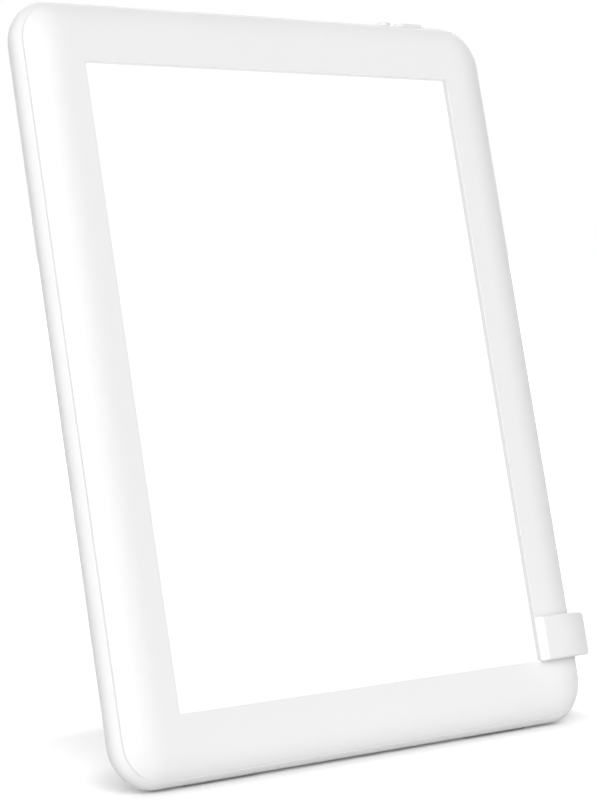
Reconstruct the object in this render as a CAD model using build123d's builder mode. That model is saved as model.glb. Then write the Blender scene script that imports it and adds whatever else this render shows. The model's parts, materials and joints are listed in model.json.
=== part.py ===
from build123d import *
import math
import os

# Light therapy lamp: a flat lit panel that leans back on a clip-on stand with a folding leg.
# Millimetres. X is right, Y is back, Z is up; the origin is on the floor under the middle.

# ---------------------------------------------------------------- driving dimensions

# Lit window and case
window_width = 144.2
window_height = 198.6
border = 20.7                # window edge to the case's widest outline, all round
case_depth = 20.0
case_wall = 2.0
corner_radius = 14.0
flat_corner = 2.5            # corner radius where the edge curve meets the flat faces
least_corner = 0.5           # smallest corner inside the walls
widest_depth = 8.0           # widest line, behind the front face
front_reach = 14.0           # how far the front edge curve runs in
back_reach = 25.0            # how far the back edge curve runs in
seam_depth = 3.8             # parting line, behind the front face
seam_groove = 0.35
groove_width = 0.8
tongue_length = 1.4
tongue_width = 1.0
window_chamfer = 0.25
lean_angle = 14.4

# Sections that the curved shells are lofted through
front_section_count = 8      # front face to parting line
seam_section_count = 4       # parting line to widest line
back_section_count = 8       # widest line to back face

# Light stack, front to back
recess_depth = 2.0           # the bezel's front wall, and how far the diffuser sits back
diffuser_thickness = 2.0
film_thickness = 0.25
guide_thickness = 3.0
reflector_thickness = 0.25
plate_thickness = 1.0
guide_margin = 3.0           # light guide beyond the window
led_gap = 0.3
led_height = 0.8
led_length = 3.5
led_width = 2.4
led_pitch = 8.0
strip_thickness = 1.0
frame_wall = 2.0
rail_width = 4.4
stack_clearance = 0.2
strip_end_margin = 5.0       # light guide beyond the ends of the LED strips
solder_tab = 9.0
tab_reach = 2.0              # solder tab behind the back plate

# Screws and posts
post_radius = 2.8
post_end = 6.6               # where the bezel's posts meet the back cover's posts
post_floor = 0.8
screw_radius = 1.25
screw_play = 0.05
screw_head_radius = 2.5
screw_head_height = 1.8
head_pocket_play = 0.4
head_seat_depth = 12.0
drive_length = 2.8           # cross recess in a screw head
drive_width = 0.5
drive_depth = 1.0
side_post_spacing = 132.0
plate_screw_radius = 0.9
plate_screw_spacing = 120.0
plate_head_radius = 1.7
plate_head_height = 1.0

# Driver board
board_thickness = 1.6
board_width = 84.0
board_height = 44.0
board_u = 16.0
board_w = -72.0
board_corner = 2.0
standoff_height = 2.5
standoff_radius = 2.4
standoff_inset_u = 14.0
standoff_inset_w = 4.0
board_screw_radius = 1.1
board_head_height = 1.2
board_head_radius = 2.2
chip_size = (9.0, 6.5, 1.7)
inductor_size = 12.0
inductor_base = 1.1
inductor_height = 4.4
inductor_core_radius = 4.6
inductor_offset = 21.0       # right of the board's middle
lower_row = 7.5              # chip and inductor, below the board's middle
capacitor_radius = 4.0
capacitor_height = 4.6
capacitor_pitch = 10.0
capacitor_count = 3
capacitor_offset = -10.5
upper_row = 7.5              # capacitors, above the board's middle
socket_size = (7.5, 5.6, 3.6)
lead_radius = 0.6
lead_pitch = 2.0
lead_bend = 2.5
lead_straight = 5.0          # straight run at each end of a lead
ribbon_u = 52.0
ribbon_width = 6.0
ribbon_thickness = 0.3

# DC inlet in the back
inlet_from_side = 8.0        # inlet's middle to the board's left edge
inlet_from_end = 14.0        # and to its lower edge
inlet_body = 10.0
inlet_nose_radius = 3.9
inlet_bore_radius = 2.8
inlet_bore_depth = 6.0
inlet_pin_radius = 1.0
inlet_play = 0.2
inlet_recess = 0.4

# Buttons in the top edge
button_depth = 8.0           # middle of the buttons, behind the front face
power_u = 54.6
power_radius = 2.7
dimmer_u = 65.4
dimmer_length = 11.8
dimmer_width = 5.0
button_proud = 0.5
button_edge = 0.35
button_play = 0.15
button_travel = 0.5
button_flange = 0.8          # flange beyond the cap, which keeps it in
flange_thickness = 0.8
flange_gap = 0.1
stem_radius = 1.4
switch_size = 5.0
switch_height = 3.4
switch_wall = 1.0
plunger_radius = 1.2
plunger_rise = 0.9
plunger_play = 0.05
plunger_rest = 0.2           # left below the plunger at full travel
button_board_rise = 0.4      # clear of the light stack below it
button_board_length = 30.0
shelf_thickness = 1.5

# Openings in the back
keyhole_radius = 4.5
keyhole_slot = 4.4
keyhole_rise = 7.0
keyhole_spacing = 90.0
keyhole_w = 62.0
vent_length = 20.0
vent_width = 2.2
vent_pitch = 5.0
vent_count = 17
vent_w = 84.0                # middle of the slots

# Feet under the case
foot_proud = 0.6
foot_height = 2.0
foot_length = 26.0
foot_width = 4.0
foot_setback = 1.0           # from the case's lowest line to the foot's middle
foot_spacing = 110.0
foot_play = 0.1

# Stand: strap, rear plate, leg
clip_proud = 5.0             # outside of the strap, off the case
liner_gap = 0.3              # free gap between the case and the pads
pad_thickness = 0.8
clip_height = 14.6
clip_drop = 0.4              # strap's lower edge below the window's lower edge
clip_edge = 1.1              # radius of the strap's outer edges
jaw_length = 22.6            # jaw's reach over the front, from the case's widest line
pad_margin = 1.5
back_pad_width = 8.0
stand_u = 30.0
stand_width = 64.0
stand_top = -10.0
stand_corner = 6.0
rail_width_out = 3.0
rail_inset = 4.0             # rails shorter than the plate at each end
rail_offset = 29.0           # middle of the stand plate to the middle of a rail
hinge_drop = 10.0            # hinge axis below the stand plate's top
hinge_offset = 4.4           # hinge axis behind the stand plate
knuckle_radius = 3.8
knuckle_width = 6.0
knuckle_root = 15.2          # height of a knuckle's root in the stand plate
pin_radius = 1.5
pin_play = 0.05
pin_head_radius = 2.6
pin_head_height = 1.0
washer_thickness = 0.8
washer_radius = 3.4
washer_play = 0.1
leg_width = 42.0
leg_thickness = 3.2
leg_foot_width = 50.0
leg_open_angle = 34.0
leg_rib_start = 8.0          # below the hinge axis
leg_rib_margin = 14.0        # above the floor, along the leg
heel_gap = 0.05              # between the leg's heel and the stand plate, leg open
leg_rib_height = 1.8
leg_rib_width = 2.0
sole_height = 8.0
sole_wall = 1.2
sole_floor = 2.0

# ---------------------------------------------------------------- derived sizes

case_width = window_width + 2 * border
case_height = window_height + 2 * border
half_width = case_width / 2
half_height = case_height / 2
back_rise = case_depth - widest_depth
back_inside = case_depth - case_wall
lean = math.radians(lean_angle)

diffuser_front = recess_depth
film_front = diffuser_front + diffuser_thickness
guide_front = film_front + film_thickness
reflector_front = guide_front + guide_thickness
plate_front = reflector_front + reflector_thickness
plate_back = plate_front + plate_thickness
guide_width = window_width + 2 * guide_margin
guide_height = window_height + 2 * guide_margin
strip_face = guide_width / 2 + led_gap + led_height
flange_face = strip_face + strip_thickness
plate_side = flange_face + plate_thickness
frame_inside = plate_side + stack_clearance
frame_side = frame_inside + frame_wall
frame_top = guide_height / 2 + stack_clearance + rail_width
diffuser_width = 2 * frame_side
diffuser_height = 2 * frame_top
plate_top = frame_top - stack_clearance
strip_length = guide_height - 2 * strip_end_margin
strip_depth = reflector_front - guide_front
led_count = int(strip_length / led_pitch)

board_front = plate_back + standoff_height
board_back = board_front + board_thickness
board_low = board_w - board_height / 2
board_top = board_w + board_height / 2
inlet_u = board_u - board_width / 2 + inlet_from_side
inlet_w = board_low + inlet_from_end

clip_low = -window_height / 2 - clip_drop
clip_middle = clip_low + clip_height / 2
jaw_end = half_width - jaw_length
strap_inside = liner_gap + pad_thickness
plate_outside = case_depth + clip_proud
stand_thickness = clip_proud - strap_inside
hinge_w = stand_top - hinge_drop
hinge_depth = plate_outside + hinge_offset
rail_height = hinge_offset - pin_head_radius - washer_play
leg_tilt = math.radians(leg_open_angle) - lean

# ---------------------------------------------------------------- where the panel stands

# The case's lowest point lies on its back edge curve, an ellipse about (curve_w, widest_depth).
curve_w = half_height - back_reach
low_reach = math.hypot(back_reach * math.cos(lean), back_rise * math.sin(lean))
panel_rise = curve_w * math.cos(lean) + widest_depth * math.sin(lean) + low_reach + foot_proud
low_w = -curve_w - back_reach**2 * math.cos(lean) / low_reach
low_depth = widest_depth + back_rise**2 * math.sin(lean) / low_reach
foot_y = low_w * math.sin(lean) + low_depth * math.cos(lean) + foot_setback

# Hinge and leg, measured from the middle of the panel's front face.
hinge_y = hinge_w * math.sin(lean) + hinge_depth * math.cos(lean)
hinge_z = hinge_w * math.cos(lean) - hinge_depth * math.sin(lean)
hinge_rise = panel_rise + hinge_z
leg_length = hinge_rise / math.cos(leg_tilt)
leg_floor_y = hinge_y + hinge_rise * math.tan(leg_tilt)
leg_rib_end = leg_length - leg_rib_margin
knuckle_offset = leg_width / 2 + washer_thickness + 2 * washer_play + knuckle_width / 2
sole_half = (leg_thickness / 2 + sole_wall) / math.cos(leg_tilt)

# The whole lamp is centred over the origin: the strap's lower front edge is foremost,
# the sole of the leg is rearmost, and the strap stands out on the right.
edge_w = clip_low + clip_edge
edge_depth = clip_edge - clip_proud
front_y = edge_w * math.sin(lean) + edge_depth * math.cos(lean) - clip_edge
back_y = leg_floor_y + sole_half
panel_x = -clip_proud / 2
panel_y = -(front_y + back_y) / 2
panel_middle = Vector(panel_x, panel_y, panel_rise)

up_panel = Vector(0, math.sin(lean), math.cos(lean))
out_front = Vector(0, -math.cos(lean), math.sin(lean))
right = Vector(1, 0, 0)
panel = Plane(origin=panel_middle, x_dir=right, z_dir=out_front)

BEHIND = (Align.CENTER, Align.CENTER, Align.MAX)
QUARTER = math.degrees(math.pi / 2)


def at_depth(depth):
    """A plane along the front face, depth behind it: x is right, y is up the panel."""
    return panel.offset(-depth)


def at_height(height):
    """A plane across the panel at a height above its middle: x is right, y is depth."""
    return Plane(origin=panel_middle + up_panel * height, x_dir=right, z_dir=up_panel)


def at_side(side):
    """An upright plane through the panel, side to the right: x is depth, y is up the panel."""
    return Plane(origin=panel_middle + right * side, x_dir=-out_front, z_dir=right)


def spot(side, height, depth):
    """A point of the panel: side to the right, height up the panel, depth behind its front."""
    return panel_middle + right * side + up_panel * height - out_front * depth


def turn_to(depth, wall=0.0):
    """The edge curve's turn in degrees at a depth ahead of the widest line."""
    return -math.degrees(math.asin((widest_depth - depth) / (widest_depth - wall)))


def case_outline(turn, wall=0.0):
    """The case's outline where its edge has turned: -90 is the front, 0 the widest, 90 the back."""
    reach = (front_reach if turn < 0 else back_reach) - wall
    rise = (widest_depth if turn < 0 else back_rise) - wall
    angle = math.radians(turn)
    run = reach * (1 - math.cos(angle))
    radius = corner_radius - wall + (flat_corner - corner_radius) * run / reach
    inset = wall + run
    with BuildSketch(at_depth(widest_depth + rise * math.sin(angle))) as outline:
        RectangleRounded(case_width - 2 * inset, case_height - 2 * inset, max(radius, least_corner))
    return outline.sketch


def turns(first, last, count):
    """Evenly spaced turns of the edge curve."""
    return [first + (last - first) * i / (count - 1) for i in range(count)]


def edge_inset(depth, wall=0.0):
    """How far a shell surface lies in from the widest outline at a depth."""
    reach = (front_reach if depth < widest_depth else back_reach) - wall
    rise = (widest_depth if depth < widest_depth else back_rise) - wall
    return wall + reach * (1 - math.sqrt(1 - ((depth - widest_depth) / rise) ** 2))


parts = []


def keep(builder, name):
    """Label a finished piece and list it for export."""
    builder.part.label = name
    parts.append(builder.part)


# ---------------------------------------------------------------- case

seam_inset = edge_inset(seam_depth)
cavity_inset = edge_inset(seam_depth, case_wall)
tongue_inset = cavity_inset + stack_clearance
cavity_half_width = half_width - cavity_inset
cavity_half_height = half_height - cavity_inset
post_u = (frame_side + cavity_half_width) / 2
post_w = (frame_top + cavity_half_height) / 2
cover_post_radius = post_radius + head_pocket_play
post_places = [
    (-post_u, -side_post_spacing / 2),
    (-post_u, side_post_spacing / 2),
    (post_u, -side_post_spacing / 2),
    (post_u, side_post_spacing / 2),
    (0, -post_w),
    (0, post_w),
]
outer_corner = corner_radius - (corner_radius - flat_corner) * seam_inset / front_reach
tongue_corner = max(outer_corner - (tongue_inset - seam_inset), tongue_width + 0.5)

# Button places along the top edge; the bezel's tongue is left out below them
power_place = (power_u, button_depth)
dimmer_place = (dimmer_u, button_depth)
board_u_middle = (power_u + dimmer_u) / 2

with BuildPart() as front_bezel:
    loft([case_outline(turn) for turn in turns(-QUARTER, turn_to(seam_depth), front_section_count)])
    inner_turns = turns(-QUARTER, turn_to(seam_depth, case_wall), front_section_count)
    loft([case_outline(turn, case_wall) for turn in inner_turns], ruled=True, mode=Mode.SUBTRACT)
    with BuildSketch(at_depth(seam_depth - tongue_length)):
        RectangleRounded(2 * (half_width - tongue_inset), 2 * (half_height - tongue_inset),
                         tongue_corner)
        RectangleRounded(2 * (half_width - tongue_inset - tongue_width),
                         2 * (half_height - tongue_inset - tongue_width),
                         tongue_corner - tongue_width, mode=Mode.SUBTRACT)
        with Locations((board_u_middle, half_height)):
            Rectangle(button_board_length, 2 * (tongue_inset + 2 * tongue_width),
                      mode=Mode.SUBTRACT)
    extrude(amount=-2 * tongue_length)
    with BuildSketch(at_depth(recess_depth)):
        with Locations(*post_places):
            Circle(post_radius)
    extrude(amount=recess_depth - post_end)
    with BuildSketch(at_depth(post_end)):
        with Locations(*post_places):
            Circle(screw_radius + screw_play)
    extrude(amount=post_end - recess_depth - post_floor, mode=Mode.SUBTRACT)
    with BuildSketch(at_depth(0)):
        Rectangle(window_width, window_height)
    extrude(amount=-seam_depth, mode=Mode.SUBTRACT)
    with BuildSketch(at_depth(recess_depth)):
        Rectangle(diffuser_width + 2 * stack_clearance, diffuser_height + 2 * stack_clearance)
    extrude(amount=-diffuser_thickness, mode=Mode.SUBTRACT)
    front_face = front_bezel.faces().sort_by(Axis(panel_middle, out_front))[-1]
    chamfer(front_face.inner_wires()[0].edges(), window_chamfer)
keep(front_bezel, "front_bezel")

button_board_low = frame_top + button_board_rise
button_board_top = button_board_low + board_thickness
button_board_front = film_front
button_board_back = back_inside - 2 * board_thickness
shelf_depth = plate_back + stack_clearance

# The hollow inside the case, less the posts and shelves that stand in it
with BuildPart() as hollow:
    inner_turns = turns(turn_to(seam_depth, case_wall), 0, seam_section_count)
    inner_turns += turns(0, QUARTER, back_section_count)[1:]
    loft([case_outline(turn, case_wall) for turn in inner_turns], ruled=True)
    with BuildSketch(at_depth(post_end)):
        with Locations(*post_places):
            Circle(cover_post_radius)
    extrude(amount=-case_depth, mode=Mode.SUBTRACT)
    with BuildSketch(at_depth(shelf_depth)):
        with Locations((board_u_middle, (button_board_low + guide_height / 2) / 2)):
            with GridLocations(button_board_length - shelf_thickness, 1, 2, 1):
                Rectangle(shelf_thickness, button_board_low - guide_height / 2)
    extrude(amount=-case_depth, mode=Mode.SUBTRACT)

with BuildPart() as back_cover:
    loft([case_outline(turn) for turn in turns(turn_to(seam_depth), 0, seam_section_count)])
    loft([case_outline(turn) for turn in turns(0, QUARTER, back_section_count)])
    add(hollow.part, mode=Mode.SUBTRACT)
    # groove along the parting line
    with BuildSketch(at_depth(seam_depth)):
        RectangleRounded(case_width, case_height, corner_radius)
        RectangleRounded(2 * (half_width - seam_inset - groove_width),
                         2 * (half_height - seam_inset - groove_width),
                         outer_corner - groove_width, mode=Mode.SUBTRACT)
    extrude(amount=-seam_groove, mode=Mode.SUBTRACT)
    # pockets for the screw heads, and holes for their shanks
    with BuildSketch(at_depth(head_seat_depth)):
        with Locations(*post_places):
            Circle(screw_head_radius + head_pocket_play)
    extrude(amount=-case_depth, mode=Mode.SUBTRACT)
    with BuildSketch(at_depth(post_end)):
        with Locations(*post_places):
            Circle(screw_radius + head_pocket_play)
    extrude(amount=post_end - head_seat_depth, mode=Mode.SUBTRACT)
    # cooling slots along the top, and the hole for the inlet's nose
    with BuildSketch(at_depth(back_inside)):
        with Locations((0, vent_w)):
            with GridLocations(vent_pitch, 1, vent_count, 1):
                SlotOverall(vent_length, vent_width, rotation=90)
        with Locations((inlet_u, inlet_w)):
            Circle(inlet_nose_radius + inlet_play)
    extrude(amount=-2 * case_wall, mode=Mode.SUBTRACT)
    # keyholes for hanging the panel on two screws
    with BuildSketch(at_depth(back_inside)):
        with Locations((0, keyhole_w)):
            with GridLocations(keyhole_spacing, 1, 2, 1):
                Circle(keyhole_radius)
                with Locations((0, keyhole_rise / 2)):
                    SlotOverall(keyhole_rise + keyhole_slot, keyhole_slot, rotation=90)
    extrude(amount=-2 * case_wall, mode=Mode.SUBTRACT)
    # holes for the buttons in the top edge
    with BuildSketch(at_height(half_height - 2 * case_wall)):
        with Locations(power_place):
            Circle(power_radius + button_play)
        with Locations(dimmer_place):
            SlotOverall(dimmer_length + 2 * button_play, dimmer_width + 2 * button_play)
    extrude(amount=4 * case_wall, mode=Mode.SUBTRACT)
    # seats for the feet
    with BuildSketch(Plane(origin=(panel_x, panel_y + foot_y, foot_height))):
        with GridLocations(foot_spacing, 1, 2, 1):
            Rectangle(foot_length + 2 * foot_play, foot_width + 2 * foot_play)
    extrude(amount=-2 * foot_height, mode=Mode.SUBTRACT)
keep(back_cover, "back_cover")

with BuildPart() as feet:
    with BuildSketch(Plane(origin=(panel_x, panel_y + foot_y, 0))):
        with GridLocations(foot_spacing, 1, 2, 1):
            Rectangle(foot_length, foot_width)
    extrude(amount=foot_height)
keep(feet, "case_feet")

with BuildPart() as case_screws:
    with BuildSketch(at_depth(head_seat_depth)):
        with Locations(*post_places):
            Circle(screw_head_radius)
    extrude(amount=-screw_head_height)
    with BuildSketch(at_depth(head_seat_depth)):
        with Locations(*post_places):
            Circle(screw_radius)
    extrude(amount=head_seat_depth - recess_depth - post_floor - screw_play)
    with BuildSketch(at_depth(head_seat_depth + screw_head_height)):
        with Locations(*post_places):
            SlotOverall(drive_length, drive_width)
            SlotOverall(drive_length, drive_width, rotation=90)
    extrude(amount=drive_depth, mode=Mode.SUBTRACT)
keep(case_screws, "case_screws")

# ---------------------------------------------------------------- light stack

with BuildPart(at_depth(diffuser_front)) as diffuser:
    Box(diffuser_width, diffuser_height, diffuser_thickness, align=BEHIND)
keep(diffuser, "diffuser")

with BuildPart(at_depth(film_front)) as prism_film:
    Box(guide_width, guide_height, film_thickness, align=BEHIND)
keep(prism_film, "prism_film")

with BuildPart(at_depth(guide_front)) as light_guide:
    Box(guide_width, guide_height, guide_thickness, align=BEHIND)
keep(light_guide, "light_guide")

with BuildPart(at_depth(reflector_front)) as reflector:
    Box(guide_width, guide_height, reflector_thickness, align=BEHIND)
keep(reflector, "reflector_sheet")

with BuildPart() as back_plate:
    with BuildSketch(at_depth(plate_front)):
        Rectangle(2 * plate_side, 2 * plate_top)
        for side in (-1, 1):
            with Locations((side * plate_side, -strip_length / 2 + solder_tab / 2)):
                Rectangle(2 * (plate_side - strip_face + stack_clearance),
                          solder_tab + 2 * stack_clearance, mode=Mode.SUBTRACT)
    extrude(amount=-plate_thickness)
    with BuildSketch(at_depth(guide_front)):
        for side in (-1, 1):
            with Locations((side * (flange_face + plate_thickness / 2), solder_tab / 2)):
                Rectangle(plate_thickness, strip_length - solder_tab - 2 * stack_clearance)
    extrude(amount=guide_front - plate_front)
    with BuildSketch(at_depth(plate_front)):
        for side in (-1, 1):
            with Locations((0, side * (frame_top - rail_width / 2))):
                with GridLocations(plate_screw_spacing, 1, 2, 1):
                    Circle(plate_screw_radius + screw_play)
    extrude(amount=-plate_thickness, mode=Mode.SUBTRACT)
keep(back_plate, "back_plate")

with BuildPart() as stack_frame:
    with BuildSketch(at_depth(film_front)):
        Rectangle(2 * frame_side, 2 * frame_top)
        Rectangle(2 * frame_inside, 2 * (frame_top - rail_width), mode=Mode.SUBTRACT)
    extrude(amount=film_front - plate_front)
    with BuildSketch(at_depth(plate_front)):
        for side in (-1, 1):
            with Locations((0, side * (frame_top - rail_width / 2))):
                with GridLocations(plate_screw_spacing, 1, 2, 1):
                    Circle(plate_screw_radius + screw_play)
    extrude(amount=(plate_front - film_front) - post_floor, mode=Mode.SUBTRACT)
keep(stack_frame, "stack_frame")

with BuildPart() as plate_screws:
    for side in (-1, 1):
        with BuildSketch(at_depth(plate_back)):
            with Locations((0, side * (frame_top - rail_width / 2))):
                with GridLocations(plate_screw_spacing, 1, 2, 1):
                    Circle(plate_head_radius)
        extrude(amount=-plate_head_height)
        with BuildSketch(at_depth(plate_back)):
            with Locations((0, side * (frame_top - rail_width / 2))):
                with GridLocations(plate_screw_spacing, 1, 2, 1):
                    Circle(plate_screw_radius)
        extrude(amount=plate_back - film_front - post_floor - screw_play)
keep(plate_screws, "plate_screws")

for side, name in ((-1, "left"), (1, "right")):
    strip_u = side * (strip_face + strip_thickness / 2)
    with BuildPart() as led_strip:
        with BuildSketch(at_depth(guide_front)):
            with Locations((strip_u, 0)):
                Rectangle(strip_thickness, strip_length)
        extrude(amount=-strip_depth)
        with BuildSketch(at_depth(reflector_front)):
            with Locations((strip_u, -strip_length / 2 + solder_tab / 2)):
                Rectangle(strip_thickness, solder_tab)
        extrude(amount=reflector_front - plate_back - tab_reach)
    keep(led_strip, "led_strip_" + name)
    with BuildPart() as leds:
        with BuildSketch(at_depth(guide_front + (strip_depth - led_width) / 2)):
            with Locations((side * (strip_face - led_height / 2), 0)):
                with GridLocations(1, led_pitch, 1, led_count):
                    Rectangle(led_height, led_length)
        extrude(amount=-led_width)
    keep(leds, "leds_" + name)

# ---------------------------------------------------------------- driver board

screw_grid = (board_width - 2 * standoff_inset_u, board_height - 2 * standoff_inset_w)
socket_w = board_low + board_corner + socket_size[1] / 2

with BuildPart() as driver_board:
    with BuildSketch(at_depth(board_front)):
        with Locations((board_u, board_w)):
            RectangleRounded(board_width, board_height, board_corner)
            with GridLocations(*screw_grid, 2, 2):
                Circle(board_screw_radius + screw_play, mode=Mode.SUBTRACT)
    extrude(amount=-board_thickness)
keep(driver_board, "driver_board")

with BuildPart() as standoffs:
    with BuildSketch(at_depth(plate_back)):
        with Locations((board_u, board_w)):
            with GridLocations(*screw_grid, 2, 2):
                Circle(standoff_radius)
                Circle(board_screw_radius + screw_play, mode=Mode.SUBTRACT)
    extrude(amount=-standoff_height)
keep(standoffs, "board_standoffs")

with BuildPart() as board_screws:
    with BuildSketch(at_depth(board_back)):
        with Locations((board_u, board_w)):
            with GridLocations(*screw_grid, 2, 2):
                Circle(board_head_radius)
    extrude(amount=-board_head_height)
    with BuildSketch(at_depth(board_back)):
        with Locations((board_u, board_w)):
            with GridLocations(*screw_grid, 2, 2):
                Circle(board_screw_radius)
    extrude(amount=board_thickness + standoff_height - screw_play)
keep(board_screws, "board_screws")

with BuildPart(at_depth(board_back)) as driver_chip:
    with Locations((board_u, board_w - lower_row)):
        Box(*chip_size, align=BEHIND)
keep(driver_chip, "driver_chip")

with BuildPart(at_depth(board_back)) as inductor:
    with Locations((board_u + inductor_offset, board_w - lower_row)):
        Box(inductor_size, inductor_size, inductor_base, align=BEHIND)
        Cylinder(inductor_core_radius, inductor_height, align=BEHIND)
keep(inductor, "inductor")

with BuildPart(at_depth(board_back)) as capacitors:
    with Locations((board_u + capacitor_offset, board_w + upper_row)):
        with GridLocations(capacitor_pitch, 1, capacitor_count, 1):
            Cylinder(capacitor_radius, capacitor_height, align=BEHIND)
keep(capacitors, "capacitors")

socket_run = board_width / 2 - socket_size[0] / 2
with BuildPart(at_depth(board_back)) as lead_sockets:
    with Locations((board_u - socket_run, socket_w), (board_u + socket_run, socket_w)):
        Box(*socket_size, align=BEHIND)
keep(lead_sockets, "lead_sockets")

tab_w = (solder_tab - strip_length) / 2
tab_depth = plate_back + tab_reach / 2
for side, name in ((-1, "left"), (1, "right")):
    socket_face = board_u + side * board_width / 2
    with BuildPart() as leads:
        for shift in (-lead_pitch / 2, lead_pitch / 2):
            with BuildLine() as route:
                FilletPolyline(
                    spot(side * strip_face, tab_w + shift, tab_depth),
                    spot(side * (strip_face - lead_straight), tab_w + shift, tab_depth),
                    spot(socket_face + side * lead_straight, socket_w + shift,
                         board_back + socket_size[2] / 2),
                    spot(socket_face, socket_w + shift, board_back + socket_size[2] / 2),
                    radius=lead_bend,
                )
            with BuildSketch(Plane(origin=route.line @ 0, z_dir=route.line % 0)):
                Circle(lead_radius)
            sweep(path=route.line)
    keep(leads, "leads_" + name)

ribbon_depth = board_back + stack_clearance
with BuildPart(at_depth(board_back)) as ribbon_socket:
    with Locations((ribbon_u, board_top - socket_size[1] / 2)):
        Box(*socket_size, align=BEHIND)
keep(ribbon_socket, "ribbon_socket")

with BuildPart(at_depth(ribbon_depth)) as button_ribbon:
    with Locations((ribbon_u, (board_top + button_board_low) / 2)):
        Box(ribbon_width, button_board_low - board_top, ribbon_thickness, align=BEHIND)
keep(button_ribbon, "button_ribbon")

# ---------------------------------------------------------------- DC inlet

with BuildPart(at_depth(board_back)) as dc_inlet:
    with Locations((inlet_u, inlet_w)):
        Box(inlet_body, inlet_body, back_inside - board_back - inlet_play, align=BEHIND)
        Cylinder(inlet_nose_radius, case_depth - inlet_recess - board_back, align=BEHIND)
    with BuildSketch(at_depth(case_depth)):
        with Locations((inlet_u, inlet_w)):
            Circle(inlet_bore_radius)
    extrude(amount=inlet_bore_depth, mode=Mode.SUBTRACT)
keep(dc_inlet, "dc_inlet")

with BuildPart() as inlet_pin:
    with BuildSketch(at_depth(case_depth - inlet_bore_depth)):
        with Locations((inlet_u, inlet_w)):
            Circle(inlet_pin_radius)
    extrude(amount=-(inlet_bore_depth - 2 * inlet_recess))
keep(inlet_pin, "inlet_pin")

# ---------------------------------------------------------------- buttons

with BuildPart() as button_board:
    with BuildSketch(at_height(button_board_low)):
        with Locations((board_u_middle, (button_board_front + button_board_back) / 2)):
            Rectangle(button_board_length, button_board_back - button_board_front)
    extrude(amount=board_thickness)
keep(button_board, "button_board")

switch_top = button_board_top + switch_height
plunger_top = switch_top + plunger_rise
switch_floor = button_board_top + switch_wall
cap_top = half_height + button_proud


def flange_top(half_length):
    """Height of a button flange's upper face, just inside the curved top edge."""
    near = edge_inset(button_depth - half_length, case_wall)
    far = edge_inset(button_depth + half_length, case_wall)
    return half_height - max(near, far) - flange_gap


with BuildPart() as switches:
    with BuildSketch(at_height(button_board_top)):
        with Locations(power_place, dimmer_place):
            Rectangle(switch_size, switch_size)
    extrude(amount=switch_height)
    with BuildSketch(at_height(switch_top)):
        with Locations(power_place, dimmer_place):
            Circle(plunger_radius + plunger_play)
    extrude(amount=switch_floor - switch_top, mode=Mode.SUBTRACT)
keep(switches, "tact_switches")

for place, name in ((power_place, "power"), (dimmer_place, "dimmer")):
    with BuildPart() as plunger:
        with BuildSketch(at_height(plunger_top)):
            with Locations(place):
                Circle(plunger_radius)
        extrude(amount=switch_floor + button_travel + plunger_rest - plunger_top)
    keep(plunger, name + "_plunger")

power_flange = flange_top(power_radius + button_flange)
with BuildPart() as power_button:
    with BuildSketch(at_height(cap_top)):
        with Locations(power_place):
            Circle(power_radius)
    extrude(amount=power_flange - cap_top)
    fillet(power_button.edges().sort_by(Axis(panel_middle, up_panel))[-1], button_edge)
    with BuildSketch(at_height(power_flange)):
        with Locations(power_place):
            Circle(power_radius + button_flange)
    extrude(amount=-flange_thickness)
    with BuildSketch(at_height(plunger_top)):
        with Locations(power_place):
            Circle(stem_radius)
    extrude(amount=power_flange - plunger_top)
keep(power_button, "power_button")

dimmer_flange = flange_top(dimmer_width / 2 + button_flange)
with BuildPart() as dimmer_button:
    with BuildSketch(at_height(cap_top)):
        with Locations(dimmer_place):
            SlotOverall(dimmer_length, dimmer_width)
    extrude(amount=dimmer_flange - cap_top)
    cap_face = dimmer_button.faces().sort_by(Axis(panel_middle, up_panel))[-1]
    fillet(cap_face.edges(), button_edge)
    with BuildSketch(at_height(dimmer_flange)):
        with Locations(dimmer_place):
            SlotOverall(dimmer_length + 2 * button_flange, dimmer_width + 2 * button_flange)
    extrude(amount=-flange_thickness)
    with BuildSketch(at_height(plunger_top)):
        with Locations(dimmer_place):
            Circle(stem_radius)
    extrude(amount=dimmer_flange - plunger_top)
keep(dimmer_button, "dimmer_button")

# ---------------------------------------------------------------- stand

front_curve_u = half_width - front_reach
back_curve_u = half_width - back_reach
strap_end = stand_u + stand_width / 2 - stand_corner


def at_outside(edge):
    """Whether a straight strap edge lies on the outside; rounding it goes on round the bends."""
    middle = panel.to_local_coords(edge @ 0.5)
    behind_front = -middle.Z
    off_case = max(-behind_front, behind_front - case_depth)
    return off_case > clip_proud - pad_thickness


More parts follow.
